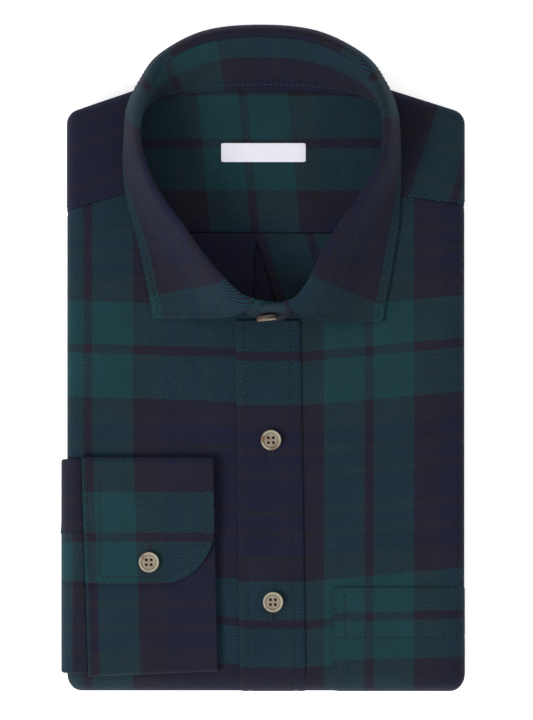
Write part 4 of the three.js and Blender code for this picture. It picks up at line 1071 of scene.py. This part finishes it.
over_y = np.concatenate([np.linspace(head_centre, LAP_END + LAP_CORNER, 26)[1:-1],
                         LAP_END + LAP_CORNER * (1 - np.sin(np.linspace(0, np.pi / 2, 40)))])
cuff_y = np.concatenate([under_y, foot_centre + foot_radius * np.cos(foot_turn), back_run,
                         head_centre + head_radius * np.cos(head_turn), over_y])
cuff_level = np.concatenate([
    np.interp(under_y, [foot_centre, -140, LAP_START], [under_foot, LEVEL_UNDER, LEVEL_UNDER - 0.2]),
    LEVEL_BACK + foot_radius * (1 + np.sin(foot_turn)), np.full(len(back_run), LEVEL_BACK),
    LEVEL_BACK + head_radius * (1 + np.sin(head_turn)),
    np.interp(over_y, [LAP_END, -92, head_centre], [LEVEL_OVER, LEVEL_OVER, LEVEL_HEAD])])
lap_wrist = cuff_line(CUFF_WRIST, cuff_y)
on_lap = np.arange(len(cuff_y)) >= len(cuff_y) - 40
reach_in = np.sqrt(np.maximum(0, LAP_CORNER ** 2 - np.maximum(0, LAP_END + LAP_CORNER - cuff_y) ** 2))
lap_wrist = np.where(on_lap, lap_wrist - LAP_CORNER + reach_in, lap_wrist)
cuff_share = np.linspace(0, 1, 46)
seam_x = cuff_line(CUFF_SEAM, cuff_y) + GAP / 2
cuff_x = seam_x[:, None] + (lap_wrist - seam_x)[:, None] * cuff_share[None]
bow = FOOT_LEAN * (cuff_x - FOOT_MIDDLE) * smooth((LAP_END - cuff_y) / 45)[:, None]
cuff_yy = cuff_y[:, None] + bow
cuff_z = CORE_TOP + FACE + cuff_level[:, None] + pile_swell(cuff_x, cuff_yy)
cuff_grid = np.stack([cuff_x, cuff_yy, cuff_z], -1)
cuff_u = cuff_x - cuff_line(CUFF_SEAM, cuff_yy) - CUFF_WARP
over_start = len(under_y) + len(foot_turn) + len(back_run) + len(head_turn) // 2
under_v = (under_y + UNDER_WEFT) * CUFF_STRETCH
over_v = (cuff_y[over_start:] + LAP_WEFT) * CUFF_STRETCH
cuff_along = lengths_along(np.column_stack([cuff_y, cuff_level]))
ends = [cuff_along[len(under_y) - 1], cuff_along[over_start]]
hidden_v = np.interp(cuff_along[len(under_y):over_start], ends, [under_v[-1], over_v[0] - WEFT_REPEAT])
cuff_v = np.concatenate([under_v, hidden_v, over_v])
cuff_cloth = np.stack([cuff_u, np.broadcast_to(cuff_v[:, None], cuff_u.shape)], -1)
cuff = grid_mesh("cuff_cloth", cuff_grid, cuff_cloth, flip=True)
finish_cloth(cuff, CUFF_WALL, side=0.0, rim=0.6)
LAP_STITCH = 4.0
LAP_INNER = -89.6
SEAM_STITCHES = (0.9, 2.5)
first_over = len(cuff_y) - len(over_y)
last_column = len(cuff_share) - 1


def on_cuff(x, y, rows):
    """Fractional row and column of the lap, or of the layer under it, at points seen from above."""
    order = rows[np.argsort(cuff_y[rows])]
    row = np.interp(y, cuff_y[order], order.astype(float))
    seam, wrist = (np.interp(y, cuff_y[order], line[order]) for line in (seam_x, lap_wrist))
    return row, last_column * (x - seam) / (wrist - seam)


wrist_x = cuff_line(CUFF_WRIST, LAP_END + LAP_CORNER)
corner_turn = np.radians(np.linspace(-90, 0, 40))
corner_reach = LAP_CORNER - LAP_STITCH
lap_path_x = np.concatenate([np.linspace(LAP_INNER, wrist_x - LAP_CORNER, 30)[:-1],
                             wrist_x - LAP_CORNER + corner_reach * np.cos(corner_turn)])
lap_path_y = np.concatenate([np.full(29, LAP_END + LAP_STITCH),
                             LAP_END + LAP_CORNER + corner_reach * np.sin(corner_turn)])
lap_rows, under_rows = np.arange(first_over, len(cuff_y)), np.arange(len(under_y))
rise_y = np.linspace(LAP_END + LAP_STITCH, head_centre - 0.5, 40)
wrist_y = np.linspace(LAP_END + LAP_CORNER, head_centre - 0.5, 40)
below_y = np.linspace(foot_centre + 1, LAP_END - 2, 40)
cuff_lines = [on_cuff(lap_path_x, lap_path_y, lap_rows), on_cuff(np.full(40, LAP_INNER), rise_y, lap_rows),
              on_cuff(cuff_line(CUFF_WRIST, wrist_y) - LAP_STITCH, wrist_y, lap_rows)]
for inside in SEAM_STITCHES:
    cuff_lines.append(on_cuff(cuff_line(CUFF_SEAM, rise_y) + GAP / 2 + inside, rise_y, lap_rows))
    cuff_lines.append(on_cuff(cuff_line(CUFF_SEAM, below_y) + GAP / 2 + inside, below_y, under_rows))
cuff_lines.append(on_cuff(cuff_line(CUFF_WRIST, below_y) - LAP_STITCH, below_y, under_rows))
cuff_thread = stitches("cuff_stitches", cuff_grid, cuff_lines, lift=CUFF_WALL / 2)
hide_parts("cuff")

# Buttons: turned horn buttons with four holes, a wide rim and a groove inside it.
# Each front buttonhole and the cuff's is a slit with its edge sewn over, half hidden under its button.
BUTTON_RADIUS = 5.75
BUTTON_THICKNESS = 3.0
HOLE_AWAY = 1.35
HOLE_RADIUS = 0.7
COLLAR_BUTTON_TILT, COLLAR_BUTTON_SWING = 87, 7


def horn_material():
    """Polished horn: a pale rim and a beige middle, streaked with brown; the groove painted brown, the holes
    dark and the side dark brown, all as painted shade.
    """
    material = bpy.data.materials.new("horn")
    material.use_nodes = True
    tree = material.node_tree
    shader = tree.nodes["Principled BSDF"]
    shader.inputs["Roughness"].default_value = 0.42
    shader.inputs["Specular IOR Level"].default_value = 0.3
    face = node(tree, "ShaderNodeUVMap", uv_map="cloth")
    radius = node(tree, "ShaderNodeVectorMath", operation="LENGTH", _0=face.outputs[0])
    share = node(tree, "ShaderNodeMath", operation="DIVIDE", _0=radius.outputs["Value"],
                 _1=BUTTON_RADIUS * MM)
    rings = node(tree, "ShaderNodeValToRGB", _0=share.outputs[0])
    marks = rings.color_ramp.elements
    marks[0].position = 0.0
    marks[0].color = (0.200, 0.150, 0.110, 1)
    # The side, at the outer end of the ramp, is painted dark brown: painted shade on the side.
    marks[1].position = 1.0
    marks[1].color = (0.030, 0.018, 0.012, 1)
    # The dark brown at 0.67 lies in the groove: painted shade.
    for position, colour in ((0.52, (0.215, 0.175, 0.130, 1)), (0.60, (0.235, 0.200, 0.150, 1)),
                             (0.67, (0.100, 0.070, 0.048, 1)), (0.74, (0.240, 0.215, 0.165, 1)),
                             (0.90, (0.300, 0.275, 0.210, 1))):
        mark = marks.new(position)
        mark.color = colour
    place = node(tree, "ShaderNodeTexCoord")
    cloud = node(tree, "ShaderNodeTexNoise", _0=place.outputs["Object"], _2=150.0, _3=3.0)
    streak = node(tree, "ShaderNodeMapRange", _0=cloud.outputs[0], _1=0.52, _2=0.66, _3=0.0, _4=0.75)
    clouded = node(tree, "ShaderNodeMix", data_type="RGBA", _0=streak.outputs[0], _6=rings.outputs[0],
                   _7=(0.110, 0.055, 0.035, 1))
    # The holes are painted nearly black: painted shade in the holes.
    apart = node(tree, "ShaderNodeVectorMath", operation="ABSOLUTE", _0=face.outputs[0])
    to_hole = node(tree, "ShaderNodeVectorMath", operation="DISTANCE", _0=apart.outputs[0],
                   _1=(HOLE_AWAY * MM, HOLE_AWAY * MM, 0))
    dark = node(tree, "ShaderNodeMapRange", _0=to_hole.outputs["Value"], _1=HOLE_RADIUS * 0.8 * MM,
                _2=HOLE_RADIUS * 1.1 * MM, _3=1.0, _4=0.0)
    pierced = node(tree, "ShaderNodeMix", data_type="RGBA", _0=dark.outputs[0], _6=clouded.outputs[2],
                   _7=(0.006, 0.005, 0.005, 1))
    tree.links.new(pierced.outputs[2], shader.inputs["Base Color"])
    return material


HORN = horn_material()


def button_grid():
    """Button seen as rings: from the middle of the face out over the rim, down the side and in under it."""
    profile = np.array([
        (0.01, 2.1), (0.4, 2.1), (0.7, 2.1), (0.95, 2.1), (1.2, 2.1), (1.45, 2.1), (1.7, 2.1), (1.95, 2.1),
        (2.2, 2.1), (2.45, 2.1), (2.7, 2.1), (2.95, 2.15), (3.3, 2.25), (3.6, 2.1), (3.85, 2.05), (4.1, 2.3),
        (4.4, 2.65), (4.8, 2.9), (5.15, 2.95), (5.45, 2.8), (5.65, 2.45), (5.75, 1.9), (5.65, 1.3),
        (5.3, 0.8), (4.5, 0.3), (3.7, 0.05), (2.0, 0.0), (0.01, 0.0)])
    turn = np.linspace(0, 2 * np.pi, 96, endpoint=False)
    x = profile[:, :1] * np.cos(turn)
    y = profile[:, :1] * np.sin(turn)
    z = np.repeat(profile[:, 1:], len(turn), axis=1)
    to_hole = np.hypot(np.abs(x) - HOLE_AWAY, np.abs(y) - HOLE_AWAY)
    z = np.where(z > 2.0, z - 1.7 / (1 + np.exp((to_hole - HOLE_RADIUS) / 0.07)), z)
    return np.stack([x, y, z], -1)


def sew_button(name, turn, place):
    """A button turned and moved to its place."""
    flat = button_grid()
    piece = grid_mesh(name + "_horn", flat @ np.array(turn).T + place, flat[..., :2], closed=True)
    piece.data.materials.append(HORN)
    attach(piece, "root")
    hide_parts(name)
    return piece


for name in ("button_front_1", "button_front_2", "button_cuff"):
    low, high = (np.array(corner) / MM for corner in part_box(name))
    sew_button(name, np.eye(3), np.array([(low[0] + high[0]) / 2, (low[1] + high[1]) / 2, low[2]]))
low, high = (np.array(corner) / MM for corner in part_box("button_collar"))
# The collar button is turned almost edge on, so its side shows. The side is painted dark brown, and this
# painted shade stands for the shade under the collar leaf.
tilt, swing = math.radians(COLLAR_BUTTON_TILT), math.radians(COLLAR_BUTTON_SWING)
tip = np.array([[1, 0, 0], [0, math.cos(tilt), -math.sin(tilt)], [0, math.sin(tilt), math.cos(tilt)]])
spin = np.array([[math.cos(swing), -math.sin(swing), 0], [math.sin(swing), math.cos(swing), 0], [0, 0, 1]])
middle = (low + high) / 2 - spin @ tip @ (0, 0, BUTTON_THICKNESS / 2) + (0, -0.3, 0)
sew_button("button_collar", spin @ tip, middle)

SLIT_NEAR, SLIT_FAR = 3.0, 10.6
SLIT_HALF = 0.75
BEAD = 0.42


def buttonhole(name, button, side, face):
    """A closed bead of thread round the slit, an oval on the cloth that runs out from under the button."""
    corner_low, corner_high = (np.array(corner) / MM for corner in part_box(button))
    middle_x, middle_y = (corner_low[:2] + corner_high[:2]) / 2
    turn = np.linspace(0, 2 * np.pi, 72, endpoint=False)
    reach = (SLIT_NEAR + SLIT_FAR) / 2 - SLIT_HALF
    centre_y = middle_y + side * (SLIT_FAR - SLIT_NEAR) / 2
    across, along = np.cos(turn), np.sin(turn)
    shift = np.clip(along * 6, -1, 1) * reach
    round_tube = np.linspace(0, 2 * np.pi, 9)[:-1]
    out = SLIT_HALF + BEAD * np.cos(round_tube)[:, None]
    x = middle_x + out * across
    y = centre_y + shift + out * along
    z = face(x, y) + BEAD * 0.75 * np.sin(round_tube)[:, None]
    ring = np.stack([x, y, z], -1)
    bead = grid_mesh(name, np.concatenate([ring, ring[:1]]), flip=True, closed=True)
    bead.data.materials.append(DARK_THREAD)
    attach(bead, "root")
    return bead


def placket_level(x, y):
    """Height of the placket's face seen from above."""
    return drape(x, y, np.full(x.shape, PATCH_FACE))[..., 2]


def lap_level(x, y):
    """Height of the cuff lap's face seen from above."""
    return CORE_TOP + FACE + LEVEL_OVER + CUFF_WALL / 2 + pile_swell(x, y)


buttonhole("buttonhole_1", "button_front_1", -1, placket_level)
buttonhole("buttonhole_2", "button_front_2", -1, placket_level)
buttonhole("buttonhole_cuff", "button_cuff", 1, lap_level)
